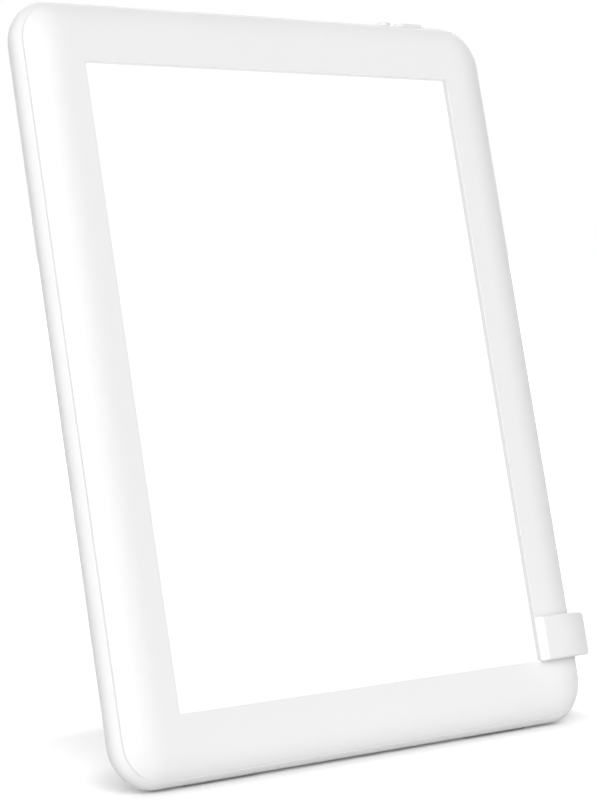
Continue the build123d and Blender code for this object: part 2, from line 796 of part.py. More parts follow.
with BuildPart() as stand_clip:
    with BuildSketch(at_height(clip_low)):
        with BuildLine():
            Line((jaw_end, -strap_inside), (jaw_end, -clip_proud))
            Line((jaw_end, -clip_proud), (front_curve_u, -clip_proud))
            EllipticalCenterArc((front_curve_u, widest_depth), front_reach + clip_proud,
                                widest_depth + clip_proud, start_angle=-QUARTER, arc_size=QUARTER)
            EllipticalCenterArc((back_curve_u, widest_depth), back_reach + clip_proud,
                                back_rise + clip_proud, start_angle=0, arc_size=QUARTER)
            Line((back_curve_u, plate_outside), (strap_end, plate_outside))
            Line((strap_end, plate_outside), (strap_end, case_depth + strap_inside))
            Line((strap_end, case_depth + strap_inside),
                 (back_curve_u, case_depth + strap_inside))
            EllipticalCenterArc((back_curve_u, widest_depth), back_reach + strap_inside,
                                back_rise + strap_inside, start_angle=0, arc_size=QUARTER)
            EllipticalCenterArc((front_curve_u, widest_depth), front_reach + strap_inside,
                                widest_depth + strap_inside, start_angle=-QUARTER,
                                arc_size=QUARTER)
            Line((front_curve_u, -strap_inside), (jaw_end, -strap_inside))
        make_face()
    extrude(amount=clip_height)
    strap_ends = stand_clip.faces().filter_by(Axis(panel_middle, up_panel))
    outside = strap_ends.edges().filter_by(lambda edge: at_outside(edge))
    fillet(outside, clip_edge)
    # rear plate with two rails that the folded leg lies between
    plate_middle = (stand_u, (clip_low + stand_top) / 2)
    with BuildSketch(at_depth(case_depth + strap_inside)):
        with Locations(plate_middle):
            RectangleRounded(stand_width, stand_top - clip_low, stand_corner)
    extrude(amount=-stand_thickness)
    with BuildSketch(at_depth(plate_outside)):
        with Locations(plate_middle):
            with GridLocations(2 * rail_offset, 1, 2, 1):
                SlotOverall(stand_top - clip_low - 2 * rail_inset, rail_width_out, rotation=90)
    extrude(amount=-rail_height)
    # hinge knuckles
    for side in (-1, 1):
        with BuildSketch(at_side(stand_u + side * knuckle_offset - knuckle_width / 2)):
            with Locations((hinge_depth, hinge_w)):
                Circle(knuckle_radius)
            with Locations((plate_outside - stand_thickness / 2, hinge_w)):
                Rectangle(stand_thickness / 2, knuckle_root)
            make_hull()
        extrude(amount=knuckle_width)
        with BuildSketch(at_side(stand_u + side * knuckle_offset - knuckle_width / 2)):
            with Locations((hinge_depth, hinge_w)):
                Circle(pin_radius + pin_play)
        extrude(amount=knuckle_width, mode=Mode.SUBTRACT)
keep(stand_clip, "stand_clip")

with BuildPart() as jaw_pad:
    with BuildSketch(at_depth(-liner_gap)):
        with Locations(((jaw_end + pad_margin + front_curve_u) / 2, clip_middle)):
            Rectangle(front_curve_u - jaw_end - pad_margin, clip_height - 2 * pad_margin)
    extrude(amount=pad_thickness)
keep(jaw_pad, "jaw_pad")

with BuildPart() as back_pads:
    with BuildSketch(at_depth(case_depth + liner_gap)):
        with Locations(plate_middle):
            with GridLocations(stand_width - 2 * pad_margin - back_pad_width, 1, 2, 1):
                RectangleRounded(back_pad_width, stand_top - clip_low - 2 * stand_corner,
                                 pad_margin)
    extrude(amount=-pad_thickness)
keep(back_pads, "back_pads")

pin_length = leg_width + 2 * (washer_thickness + 2 * washer_play + knuckle_width)
with BuildPart() as hinge_pin:
    with BuildSketch(at_side(stand_u - pin_length / 2)):
        with Locations((hinge_depth, hinge_w)):
            Circle(pin_radius)
    extrude(amount=pin_length)
    for end in (-pin_length / 2 - pin_head_height, pin_length / 2):
        with BuildSketch(at_side(stand_u + end)):
            with Locations((hinge_depth, hinge_w)):
                Circle(pin_head_radius)
        extrude(amount=pin_head_height)
keep(hinge_pin, "hinge_pin")

with BuildPart() as washers:
    for end in (-leg_width / 2 - washer_play - washer_thickness, leg_width / 2 + washer_play):
        with BuildSketch(at_side(stand_u + end)):
            with Locations((hinge_depth, hinge_w)):
                Circle(washer_radius)
                Circle(pin_radius + pin_play, mode=Mode.SUBTRACT)
        extrude(amount=washer_thickness)
keep(washers, "hinge_washers")

# ---------------------------------------------------------------- leg

hinge_middle = spot(stand_u, hinge_w, hinge_depth)
leg_face = Vector(0, math.cos(leg_tilt), math.sin(leg_tilt))
leg_plane = Plane(origin=hinge_middle, x_dir=-right, z_dir=leg_face)
open_angle = math.radians(leg_open_angle)
heel_room = hinge_offset - heel_gap - leg_thickness / 2 * math.cos(open_angle)
heel_reach = heel_room / math.sin(open_angle)
barrel_radius = knuckle_radius - 2 * washer_play

with BuildPart() as stand_leg:
    with BuildSketch(leg_plane.offset(-leg_thickness / 2)):
        with BuildLine():
            Polyline((-leg_width / 2, 0), (leg_width / 2, 0),
                     (leg_width / 2, -leg_rib_start), (leg_foot_width / 2, -leg_length),
                     (leg_foot_width / 2, -2 * leg_length),
                     (-leg_foot_width / 2, -2 * leg_length), (-leg_foot_width / 2, -leg_length),
                     (-leg_width / 2, -leg_rib_start), close=True)
        make_face()
        with Locations((0, heel_reach / 2)):
            Rectangle(leg_width, heel_reach)
    extrude(amount=leg_thickness)
    with BuildSketch(leg_plane.offset(leg_thickness / 2)):
        with BuildLine():
            Polyline((-leg_width / 2, -leg_rib_start), (leg_width / 2, -leg_rib_start),
                     (leg_foot_width / 2, -leg_rib_end), (-leg_foot_width / 2, -leg_rib_end),
                     close=True)
        make_face()
        offset(amount=-leg_rib_width, mode=Mode.SUBTRACT)
    extrude(amount=leg_rib_height)
    split(bisect_by=Plane.XY.offset(sole_floor), keep=Keep.TOP)
    with BuildSketch(Plane(origin=hinge_middle - right * leg_width / 2, z_dir=right)):
        Circle(barrel_radius)
    extrude(amount=leg_width)
    with BuildSketch(Plane(origin=hinge_middle - right * leg_width / 2, z_dir=right)):
        Circle(pin_radius + pin_play)
    extrude(amount=leg_width, mode=Mode.SUBTRACT)
keep(stand_leg, "stand_leg")

with BuildPart() as leg_sole:
    with BuildSketch(Plane(origin=(panel_x + stand_u, 0, 0), x_dir=(0, 1, 0), z_dir=right)):
        with BuildLine():
            floor_y = panel_y + leg_floor_y
            slant = sole_height * math.tan(leg_tilt)
            Polyline((floor_y - sole_half, 0), (floor_y + sole_half, 0),
                     (floor_y + sole_half - slant, sole_height),
                     (floor_y - sole_half - slant, sole_height), close=True)
        make_face()
    extrude(amount=leg_foot_width / 2 + sole_wall, both=True)
    add(stand_leg.part, mode=Mode.SUBTRACT)
keep(leg_sole, "leg_sole")

os.makedirs("parts", exist_ok=True)
for part in parts:
    export_step(part, "parts/" + part.label + ".step")
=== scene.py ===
"""Looks of the light therapy lamp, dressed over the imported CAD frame.

The lamp is a flat lit panel in a two-part white case. It leans back on a strap that hooks
round its right edge, with a folding leg behind. Lengths are in metres, in the shared frame:
X to the right, Y to the back, Z up.
"""

from __future__ import annotations

import json
import logging
import math
from collections.abc import Callable
from dataclasses import dataclass
from enum import Enum

import bpy
import numpy as np
from mathutils import Euler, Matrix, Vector

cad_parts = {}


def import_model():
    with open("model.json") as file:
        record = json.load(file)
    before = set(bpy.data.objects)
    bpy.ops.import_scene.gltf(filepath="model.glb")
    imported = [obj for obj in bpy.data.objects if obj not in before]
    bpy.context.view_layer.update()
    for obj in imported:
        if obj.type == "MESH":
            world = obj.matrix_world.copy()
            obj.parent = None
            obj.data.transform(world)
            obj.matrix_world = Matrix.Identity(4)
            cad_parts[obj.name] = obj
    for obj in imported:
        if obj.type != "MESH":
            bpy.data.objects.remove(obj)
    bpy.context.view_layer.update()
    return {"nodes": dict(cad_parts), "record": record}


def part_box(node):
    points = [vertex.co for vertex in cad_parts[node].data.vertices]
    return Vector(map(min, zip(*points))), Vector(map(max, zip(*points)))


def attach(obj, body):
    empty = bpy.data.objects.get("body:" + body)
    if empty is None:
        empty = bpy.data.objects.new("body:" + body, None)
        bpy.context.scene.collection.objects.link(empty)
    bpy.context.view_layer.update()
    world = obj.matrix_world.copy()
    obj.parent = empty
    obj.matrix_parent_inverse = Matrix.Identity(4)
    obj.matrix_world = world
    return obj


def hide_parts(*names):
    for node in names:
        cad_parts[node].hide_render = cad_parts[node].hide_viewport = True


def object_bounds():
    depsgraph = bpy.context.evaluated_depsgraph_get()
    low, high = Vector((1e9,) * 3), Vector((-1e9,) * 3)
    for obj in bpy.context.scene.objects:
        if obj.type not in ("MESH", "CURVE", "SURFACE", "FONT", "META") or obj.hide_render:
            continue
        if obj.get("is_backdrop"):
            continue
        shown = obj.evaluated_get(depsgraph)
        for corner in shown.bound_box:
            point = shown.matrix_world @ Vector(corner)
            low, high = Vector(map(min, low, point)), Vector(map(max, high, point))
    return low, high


log = logging.getLogger("lamp")

MM = 0.001
RIGHT = np.array([1.0, 0.0, 0.0])
# faces that meet at a wider angle keep a sharp edge
SHARP_ANGLE = math.radians(38)
# nearly all values of a noise field lie here
NOISE_RANGE = (0.3, 0.7)
Colour = tuple[float, float, float]
Numbers = np.ndarray | list[float]
Socket = bpy.types.NodeSocket


# ------------------------------------------------------------------ the leaning panel


@dataclass(frozen=True)
class Panel:
    """The panel's own frame: side to the right, height up the panel, depth behind its front.

    Attributes:
        middle: The middle of the front face, in the shared frame.
        lean: How far the panel leans back from upright, in radians.
    """

    middle: np.ndarray
    lean: float

    @classmethod
    def from_frame(cls, record: dict, recess: float) -> Panel:
        """Reads the lean from a keyhole's axis and the middle from the diffuser's box.

        Args:
            record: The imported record.
            recess: How far the diffuser's front lies behind the front face.

        Returns:
            The panel's frame.
        """
        keyhole = next(m for m in record["mounts"] if m["name"] == "keyhole_left")
        lean = math.atan2(-keyhole["axis"][2], keyhole["axis"][1])
        low, high = np.array(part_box("diffuser"))
        deep, tall = (high - low)[1:]
        # a slab of height h and thickness t that leans has deep = h sin + t cos, tall = h cos + t sin
        thick = (deep * math.cos(lean) - tall * math.sin(lean)) / math.cos(2 * lean)
        back = np.array([0.0, math.cos(lean), -math.sin(lean)])
        return cls((low + high) / 2 - back * (recess + thick / 2), lean)

    @property
    def up(self) -> np.ndarray:
        """Unit vector up the panel."""
        return np.array([0.0, math.sin(self.lean), math.cos(self.lean)])

    @property
    def back(self) -> np.ndarray:
        """Unit vector out of the panel's back."""
        return np.array([0.0, math.cos(self.lean), -math.sin(self.lean)])

    @property
    def axes(self) -> Axes:
        """Axes for side, height and depth."""
        return Axes(self.middle, np.array([RIGHT, self.up, self.back]))

    @property
    def edge_axes(self) -> Axes:
        """Axes for side, depth and height, for what is drawn in the panel's edge."""
        return Axes(self.middle, np.array([RIGHT, self.back, self.up]))

    @property
    def side_axes(self) -> Axes:
        """Axes for depth, height and side, for what is drawn in the panel's section."""
        return Axes(self.middle, np.array([self.back, self.up, RIGHT]))


# ------------------------------------------------------------------ finishes


class Sketch:
    """A node tree being filled: makes nodes, sets their inputs and links their outputs."""

    def __init__(self, tree: bpy.types.NodeTree) -> None:
        """Keeps the tree and starts it empty.

        Args:
            tree: A material's, world's or group's node tree.
        """
        self.tree = tree
        tree.nodes.clear()

    def node(self, kind: str, settings: dict | None = None, **inputs: object) -> bpy.types.Node:
        """Adds a node.

        Args:
            kind: The node's type name.
            settings: Attributes to set on the node.
            **inputs: Input values or output sockets, by input name with _ for a space.

        Returns:
            The new node.
        """
        made = self.tree.nodes.new(kind)
        for name, value in (settings or {}).items():
            setattr(made, name, value)
        self.fill(made, **inputs)
        return made

    def fill(self, node: bpy.types.Node, **inputs: object) -> None:
        """Feeds several inputs of a node.

        Args:
            node: The node that has the inputs.
            **inputs: Input values or output sockets, by input name with _ for a space.
        """
        for name, value in inputs.items():
            self.feed(node, name.replace("_", " "), value)

    def feed(self, node: bpy.types.Node, name: str | int, value: object) -> None:
        """Gives an input a value, or links an output socket to it.

        Args:
            node: The node that has the input.
            name: The input's name, or its number.
            value: A number, a colour, a vector or an output socket.
        """
        socket = node.inputs[name]
        if isinstance(value, Socket):
            self.tree.links.new(value, socket)
        elif isinstance(value, tuple) and len(value) == 3 and len(socket.default_value) == 4:
            socket.default_value = (*value, 1.0)
        else:
            socket.default_value = value

    def where(self) -> Socket:
        """The socket of the Object coordinates."""
        return self.node("ShaderNodeTexCoord").outputs["Object"]

    def noise(self, vector: Socket, scale: float | Socket, detail: float = 2.0) -> Socket:
        """A noise field.

        Args:
            vector: The coordinates that it reads.
            scale: Lumps per metre.
            detail: Octaves of finer lumps.

        Returns:
            The field's value socket.
        """
        return self.node("ShaderNodeTexNoise", Vector=vector, Scale=scale, Detail=detail).outputs[0]

    def maths(self, operation: str, *values: object, kind: str = "Math") -> Socket:
        """Works out numbers, or vectors if the kind is VectorMath.

        Args:
            operation: The operation's name.
            *values: What it takes, as values or output sockets.
            kind: The node's type name, without ShaderNode before it.

        Returns:
            The result's socket.
        """
        made = self.node("ShaderNode" + kind, {"operation": operation})
        for i, value in enumerate(values):
            self.feed(made, i, value)
        return made.outputs[0]

    def mix(self, share: Socket, first: Colour, second: Colour | Socket) -> Socket:
        """Mixes two colours.

        Args:
            share: How much of the second shows, from 0 to 1.
            first: The first colour.
            second: The second colour.

        Returns:
            The mixed colour's socket.
        """
        made = self.node("ShaderNodeMix", {"data_type": "RGBA"})
        for i, value in ((0, share), (6, first), (7, second)):
            self.feed(made, i, value)
        return made.outputs[2]

    def spread(
        self, value: Socket, low: float, high: float, to_low: float | Socket, to_high: float | Socket
    ) -> Socket:
        """Maps one range of a value to another, held at the ends.

        Args:
            value: The value to map.
            low: Where the source range starts.
            high: Where it ends.
            to_low: What low becomes.
            to_high: What high becomes.

        Returns:
            The mapped value's socket.
        """
        ends = {"From_Min": low, "From_Max": high, "To_Min": to_low, "To_Max": to_high}
        return self.node("ShaderNodeMapRange", Value=value, **ends).outputs[0]


def shader_group(name: str, inputs: dict[str, float | Colour], draw: Callable) -> bpy.types.NodeTree:
    """A surface effect as a shader group, built once.

    Args:
        name: The group's name.
        inputs: Its inputs by name, each with its default number or vector.
        draw: Fills the tree from the sketch, the inputs' sockets and the Object coordinates, and
            returns the sockets for Height, Tint and Roughness.

    Returns:
        The group, with outputs Height, Tint and Roughness.
    """
    if name in bpy.data.node_groups:
        return bpy.data.node_groups[name]
    group = bpy.data.node_groups.new(name, "ShaderNodeTree")
    for label, default in inputs.items():
        kind = "NodeSocketVector" if isinstance(default, tuple) else "NodeSocketFloat"
        socket = group.interface.new_socket(label, in_out="INPUT", socket_type=kind)
        socket.default_value = default
    for label in ("Height", "Tint", "Roughness"):
        group.interface.new_socket(label, in_out="OUTPUT", socket_type="NodeSocketFloat")
    sketch = Sketch(group)
    given = sketch.node("NodeGroupInput").outputs
    height, tint, roughness = draw(sketch, given, sketch.where())
    sketch.node("NodeGroupOutput", Height=height, Tint=tint, Roughness=roughness)
    return group


def moulded_grain() -> bpy.types.NodeTree:
    """The surface of a moulded part.

    A fine spark-eroded grain gives the height. Broad, faint clouds vary the tint and the gloss,
    as flow in the mould does.

    Returns:
        The group, with inputs Grain, Clouds, Gloss Low and Gloss High.
    """

    def draw(sketch: Sketch, given: bpy.types.NodeOutputs, where: Socket) -> tuple[Socket, ...]:
        """Multiplies a noise field by pits for the height, and spreads a cloud field for the rest.

        Args:
            sketch: The group's tree.
            given: The sockets of its inputs.
            where: The Object coordinates.

        Returns:
            The sockets for Height, Tint and Roughness.
        """
        grain = given["Grain"]
        pits = sketch.node("ShaderNodeTexVoronoi", {"feature": "SMOOTH_F1"}, Vector=where, Scale=grain)
        height = sketch.maths("MULTIPLY", sketch.noise(where, grain, detail=3.0), pits.outputs[0])
        clouds = sketch.noise(where, given["Clouds"])
        tint = sketch.spread(clouds, *NOISE_RANGE, 0.0, 1.0)
        return height, tint, sketch.spread(clouds, 0.35, 0.65, given["Gloss Low"], given["Gloss High"])

    inputs = {"Grain": 3000.0, "Clouds": 25.0, "Gloss Low": 0.4, "Gloss High": 0.5}
    return shader_group("moulded_grain", inputs, draw)


def drawn_lines() -> bpy.types.NodeTree:
    """Rolled or turned metal: noise stretched along one way gives fine lines, over faint stains.

    Returns:
        The group, with input Stretch.
    """

    def draw(sketch: Sketch, given: bpy.types.NodeOutputs, where: Socket) -> tuple[Socket, ...]:
        """Reads a noise field at stretched coordinates, and another for the stains.

        Args:
            sketch: The group's tree.
            given: The sockets of its inputs.
            where: The Object coordinates.

        Returns:
            The sockets for Height, Tint and Roughness.
        """
        pulled = sketch.maths("MULTIPLY", where, given["Stretch"], kind="VectorMath")
        lines = sketch.noise(pulled, 1.0, detail=4.0)
        stains = sketch.noise(where, 90.0, detail=3.0)
        tint = sketch.spread(stains, *NOISE_RANGE, 0.0, 1.0)
        return lines, tint, sketch.spread(lines, *NOISE_RANGE, 0.25, 0.45)

    return shader_group("drawn_lines", {"Stretch": (60.0, 4000.0, 4000.0)}, draw)


@dataclass(frozen=True)
class Finish:
    """A finish over a principled shader; a subclass says what drives it.

    Attributes:
        name: The material's name.
        colour: Its base colour, linear.
    """

    name: str
    colour: Colour

    def build(self) -> bpy.types.Material:
        """Makes the material, or returns the one made before.

        Returns:
            The material.
        """
        if self.name in bpy.data.materials and bpy.data.materials[self.name].get("dressed"):
            return bpy.data.materials[self.name]
        made = bpy.data.materials.new(self.name)
        made["dressed"] = True
        made.use_nodes = True
        sketch = Sketch(made.node_tree)
        shader = sketch.node("ShaderNodeBsdfPrincipled")
        sketch.node("ShaderNodeOutputMaterial", Surface=shader.outputs[0])
        self.dress(sketch, shader)
        return made

    def dress(self, sketch: Sketch, shader: bpy.types.Node) -> None:
        """Sets the shader's inputs.

        Args:
            sketch: The material's tree.
            shader: Its principled shader.
        """
        raise NotImplementedError

    def two_tones(self, tint: Socket, sketch: Sketch, change: float) -> Socket:
        """Mixes the colour with a slightly darker one.

        Args:
            tint: Where the darker colour shows, from 0 to 1.
            sketch: The material's tree.
            change: The darker colour's share of brightness lost.

        Returns:
            The mixed colour's socket.
        """
        return sketch.mix(tint, self.colour, tuple(c * (1 - change) for c in self.colour))

    def raised(self, height: Socket, sketch: Sketch, depth: float) -> Socket:
        """Turns a height field into a normal.

        Args:
            height: The field, from 0 to 1.
            sketch: The material's tree.
            depth: The field's full height in metres.

        Returns:
            The normal's socket.
        """
        return sketch.node("ShaderNodeBump", Height=height, Distance=depth, Strength=1.0).outputs[0]


@dataclass(frozen=True)
class MouldedPlastic(Finish):
    """A moulded plastic or rubber surface with a fine grain.

    Attributes:
        gloss: The lowest and highest roughness.
        grain: Grains per metre.
        depth: Height of the grain in metres.
        specular: Specular level.
        clouds: Share of brightness lost where the tint is darkest.
    """

    gloss: tuple[float, float] = (0.42, 0.5)
    grain: float = 2600.0
    depth: float = 0.004 * MM
    specular: float = 0.35
    clouds: float = 0.012

    def dress(self, sketch: Sketch, shader: bpy.types.Node) -> None:
        """Lets the moulded grain drive the tint, the gloss and the relief.

        Args:
            sketch: The material's tree.
            shader: Its principled shader.
        """
        group = sketch.node("ShaderNodeGroup", {"node_tree": moulded_grain()})
        sketch.fill(group, Grain=self.grain, Gloss_Low=self.gloss[0], Gloss_High=self.gloss[1])
        sketch.fill(
            shader,
            Base_Color=self.two_tones(group.outputs["Tint"], sketch, self.clouds),
            Roughness=group.outputs["Roughness"],
            Normal=self.raised(group.outputs["Height"], sketch, self.depth),
            Specular_IOR_Level=self.specular,
        )


@dataclass(frozen=True)
class LitOpal(Finish):
    """An opal sheet lit from its edges, with a faint unevenness of its light. On the window's seal its
    glow is painted light.

    Attributes:
        glow: Emission strength.
        clouds: Uneven patches per metre.
        change: Share of brightness lost in a patch.
        grain: Grains per metre.
        gloss: The lowest and highest roughness.
    """

    glow: float = 0.6
    clouds: float = 14.0
    change: float = 0.01
    grain: float = 1800.0
    gloss: tuple[float, float] = (0.5, 0.6)

    def dress(self, sketch: Sketch, shader: bpy.types.Node) -> None:
        """Makes the sheet glow, with faint patches in its colour and a fine grain in its gloss.

        Args:
            sketch: The material's tree.
            shader: Its principled shader.
        """
        where = sketch.where()
        patches = sketch.spread(sketch.noise(where, self.clouds), *NOISE_RANGE, 0.0, 1.0)
        sketch.fill(
            shader,
            Base_Color=self.two_tones(patches, sketch, self.change),
            Emission_Color=(1.0, 1.0, 1.0),
            Emission_Strength=self.glow,
            Roughness=sketch.spread(sketch.noise(where, self.grain), *NOISE_RANGE, *self.gloss),
        )


@dataclass(frozen=True)
class Metal(Finish):
    """Rolled, drawn or plated metal.

    Attributes:
        stretch: How the lines are pulled along X, Y and Z, in lines per metre.
        depth: Height of the lines in metres.
        stain: Share of brightness lost in a stain.
    """

    stretch: tuple[float, float, float] = (60.0, 4000.0, 4000.0)
    depth: float = 0.003 * MM
    stain: float = 0.12

    def dress(self, sketch: Sketch, shader: bpy.types.Node) -> None:
        """Lets the drawn lines and stains drive the tint, the gloss and the relief.

        Args:
            sketch: The material's tree.
            shader: Its principled shader.
        """
        group = sketch.node("ShaderNodeGroup", {"node_tree": drawn_lines()}, Stretch=self.stretch)
        sketch.fill(
            shader,
            Metallic=1.0,
            Base_Color=self.two_tones(group.outputs["Tint"], sketch, self.stain),
            Roughness=group.outputs["Roughness"],
            Normal=self.raised(group.outputs["Height"], sketch, self.depth),
        )


@dataclass(frozen=True)
class ClearSheet(Finish):
    """Clear acrylic with a frosted pattern of dots, which lets its light out.

    Attributes:
        dots: Dots per metre.
        dot_edge: Where a dot's frost starts to fade and where it ends, from its middle.
        clear: Share of light let through.
        gloss: Roughness between the dots and on them.
    """

    dots: float = 800.0
    dot_edge: tuple[float, float] = (0.25, 0.35)
    clear: float = 0.9
    gloss: tuple[float, float] = (0.08, 0.6)

    def dress(self, sketch: Sketch, shader: bpy.types.Node) -> None:
        """Makes the sheet clear, and rough where a cell's middle is near.

        Args:
            sketch: The material's tree.
            shader: Its principled shader.
        """
        cells = sketch.node("ShaderNodeTexVoronoi", Vector=sketch.where(), Scale=self.dots, Randomness=0.1)
        frost = sketch.spread(cells.outputs["Distance"], *self.dot_edge, 1.0, 0.0)
        sketch.fill(
            shader,
            Base_Color=self.colour,
            Transmission_Weight=self.clear,
            Roughness=sketch.spread(frost, 0.0, 1.0, *self.gloss),
        )


@dataclass(frozen=True)
class CircuitBoard(Finish):
    """Solder mask over copper tracks, which run in the joints of a brick pattern.

    Attributes:
        tracks: Bricks per metre.
        copper: The mask's colour over a track.
        depth: How far a track stands out.
        grain: Grains per metre.
        gloss: The lowest and highest roughness.
    """

    tracks: float = 500.0
    copper: Colour = (0.09, 0.32, 0.16)
    depth: float = 0.03 * MM
    grain: float = 900.0
    gloss: tuple[float, float] = (0.25, 0.4)

    def dress(self, sketch: Sketch, shader: bpy.types.Node) -> None:
        """Gives the tracks their colour and their relief.

        Args:
            sketch: The material's tree.
            shader: Its principled shader.
        """
        where = sketch.where()
        bricks = sketch.node("ShaderNodeTexBrick", Vector=where, Scale=self.tracks, Mortar_Size=0.08)
        track = bricks.outputs["Fac"]
        sketch.fill(
            shader,
            Base_Color=sketch.mix(track, self.colour, self.copper),
            Roughness=sketch.spread(sketch.noise(where, self.grain), *NOISE_RANGE, *self.gloss),
            Normal=self.raised(track, sketch, self.depth),
        )


@dataclass(frozen=True)
class StripedCable(Finish):
    """A flat cable's ribbed insulation.

    Attributes:
        cores: Cores per metre across the cable.
        depth: How far a rib stands out.
        change: Share of brightness lost between two ribs.
        gloss: The lowest and highest roughness.
    """

    cores: float = 1000.0
    depth: float = 0.1 * MM
    change: float = 0.25
    gloss: tuple[float, float] = (0.35, 0.5)

    def dress(self, sketch: Sketch, shader: bpy.types.Node) -> None:
        """Lets one rib for each core drive the tint, the gloss and the relief.

        Args:
            sketch: The material's tree.
            shader: Its principled shader.
        """
        waves = sketch.node("ShaderNodeTexWave", Vector=sketch.where(), Scale=self.cores / math.tau)
        ribs = waves.outputs["Fac"]
        sketch.fill(
            shader,
            Base_Color=self.two_tones(ribs, sketch, self.change),
            Roughness=sketch.spread(ribs, 0.0, 1.0, *self.gloss),
            Normal=self.raised(ribs, sketch, self.depth),
        )


WHITE_CASE = MouldedPlastic("case_white_plastic", (0.886, 0.886, 0.886))
WHITE_BUTTON = MouldedPlastic("button_white_plastic", (0.81, 0.81, 0.81), gloss=(0.36, 0.44), grain=3600.0)
WHITE_STAND = MouldedPlastic("stand_white_plastic", (0.875, 0.875, 0.875))
GREY_RUBBER = MouldedPlastic(
    "grey_rubber", (0.26, 0.26, 0.27), gloss=(0.72, 0.85), grain=1800.0, depth=0.01 * MM, clouds=0.15
)
ICON_GREY = MouldedPlastic("icon_grey", (0.33, 0.34, 0.36), gloss=(0.45, 0.55), clouds=0.05)
BLACK_PLASTIC = MouldedPlastic("black_plastic", (0.022, 0.022, 0.024), gloss=(0.35, 0.45), clouds=0.2)
CREAM_NYLON = MouldedPlastic("cream_nylon", (0.72, 0.68, 0.56), gloss=(0.45, 0.55), clouds=0.06)
RED_WIRE = MouldedPlastic("red_wire", (0.42, 0.03, 0.025), gloss=(0.35, 0.45), clouds=0.1)
SHEET_WHITE = MouldedPlastic("white_sheet", (0.86, 0.86, 0.86), gloss=(0.6, 0.7), clouds=0.02)
PHOSPHOR = MouldedPlastic("led_phosphor", (0.86, 0.72, 0.22), gloss=(0.25, 0.35), clouds=0.08)
OPAL = LitOpal("lit_opal", (0.5, 0.5, 0.5))
# painted light: the seal's glow on a near-black base gives the window's wall a fixed grey tone whatever
# the lamps do
PAINTED_GLOW_SEAL = LitOpal("painted_glow_seal", (0.06, 0.06, 0.06), glow=0.66)
CLEAR = ClearSheet("clear_acrylic", (0.95, 0.97, 0.98))
ALUMINIUM = Metal("rolled_aluminium", (0.76, 0.77, 0.78))
ZINC = Metal("zinc_plated_steel", (0.6, 0.6, 0.61), stretch=(3000.0, 3000.0, 3000.0))
BRASS = Metal("plated_brass", (0.72, 0.56, 0.27), stretch=(3000.0, 3000.0, 3000.0))
BOARD = CircuitBoard("solder_mask", (0.02, 0.11, 0.05))
RIBBON = StripedCable("flat_cable", (0.5, 0.5, 0.52))

NODE_FINISHES: dict[Finish, tuple[str, ...]] = {
    WHITE_CASE: ("back_cover", "front_bezel"),
    WHITE_BUTTON: ("power_button", "dimmer_button"),
    WHITE_STAND: ("stand_clip", "stand_leg"),
    OPAL: ("diffuser",),
    CLEAR: ("prism_film", "light_guide"),
    SHEET_WHITE: ("reflector_sheet", "stack_frame"),
    ALUMINIUM: ("back_plate", "led_strip_left", "led_strip_right", "capacitors"),
    PHOSPHOR: ("leds_left", "leds_right"),
    ZINC: ("case_screws", "plate_screws", "board_screws", "hinge_pin"),
    BRASS: ("board_standoffs", "inlet_pin"),
    BOARD: ("driver_board", "button_board"),
    BLACK_PLASTIC: (
        "driver_chip",
        "inductor",
        "dc_inlet",
        "tact_switches",
        "power_plunger",
        "dimmer_plunger",
    ),
    CREAM_NYLON: ("lead_sockets", "ribbon_socket", "hinge_washers"),
    RED_WIRE: ("leads_left", "leads_right"),
    RIBBON: ("button_ribbon",),
    GREY_RUBBER: ("case_feet", "jaw_pad", "back_pads", "leg_sole"),
}


def dress_nodes(nodes: dict[str, bpy.types.Object]) -> None:
    """Gives each CAD node its finish.

    Args:
        nodes: All CAD nodes, by name.
    """
    for finish, names in NODE_FINISHES.items():
        for name in names:
            slots = nodes[name].data.materials
            slots.clear()
            slots.append(finish.build())
            log.info("%s has finish %s", name, finish.name)


# ------------------------------------------------------------------ surfaces


@dataclass(frozen=True)
class Axes:
    """A place and three directions that a piece is drawn along.

    Attributes:
        origin: Where the three coordinates are zero, in the shared frame.
        along: The three directions, one a row.
    """

    origin: np.ndarray
    along: np.ndarray

    def place(self, points: np.ndarray) -> np.ndarray:
        """Turns local coordinates into points of the shared frame.

        Args:
            points: Local coordinates, with a last axis of three.

        Returns:
            The points, in an array of the same shape.
        """
        return self.origin + points @ self.along


def around(turn: np.ndarray) -> np.ndarray:
    """Unit vectors at each turn: its cosine and its sine."""
    return np.stack([np.cos(turn), np.sin(turn)], -1)


def rounded(edge: float, count: int = 5) -> tuple[np.ndarray, np.ndarray]:
    """A quarter circle on an edge, as edge less edge times the sine, and less edge times the cosine.

    Args:
        edge: The circle's radius.
        count: Points on it.

    Returns:
        What falls from the radius to zero, and what rises from zero to the radius.
    """
    turn = np.linspace(0, math.pi / 2, count)
    return edge * (1 - np.sin(turn)), edge * (1 - np.cos(turn))


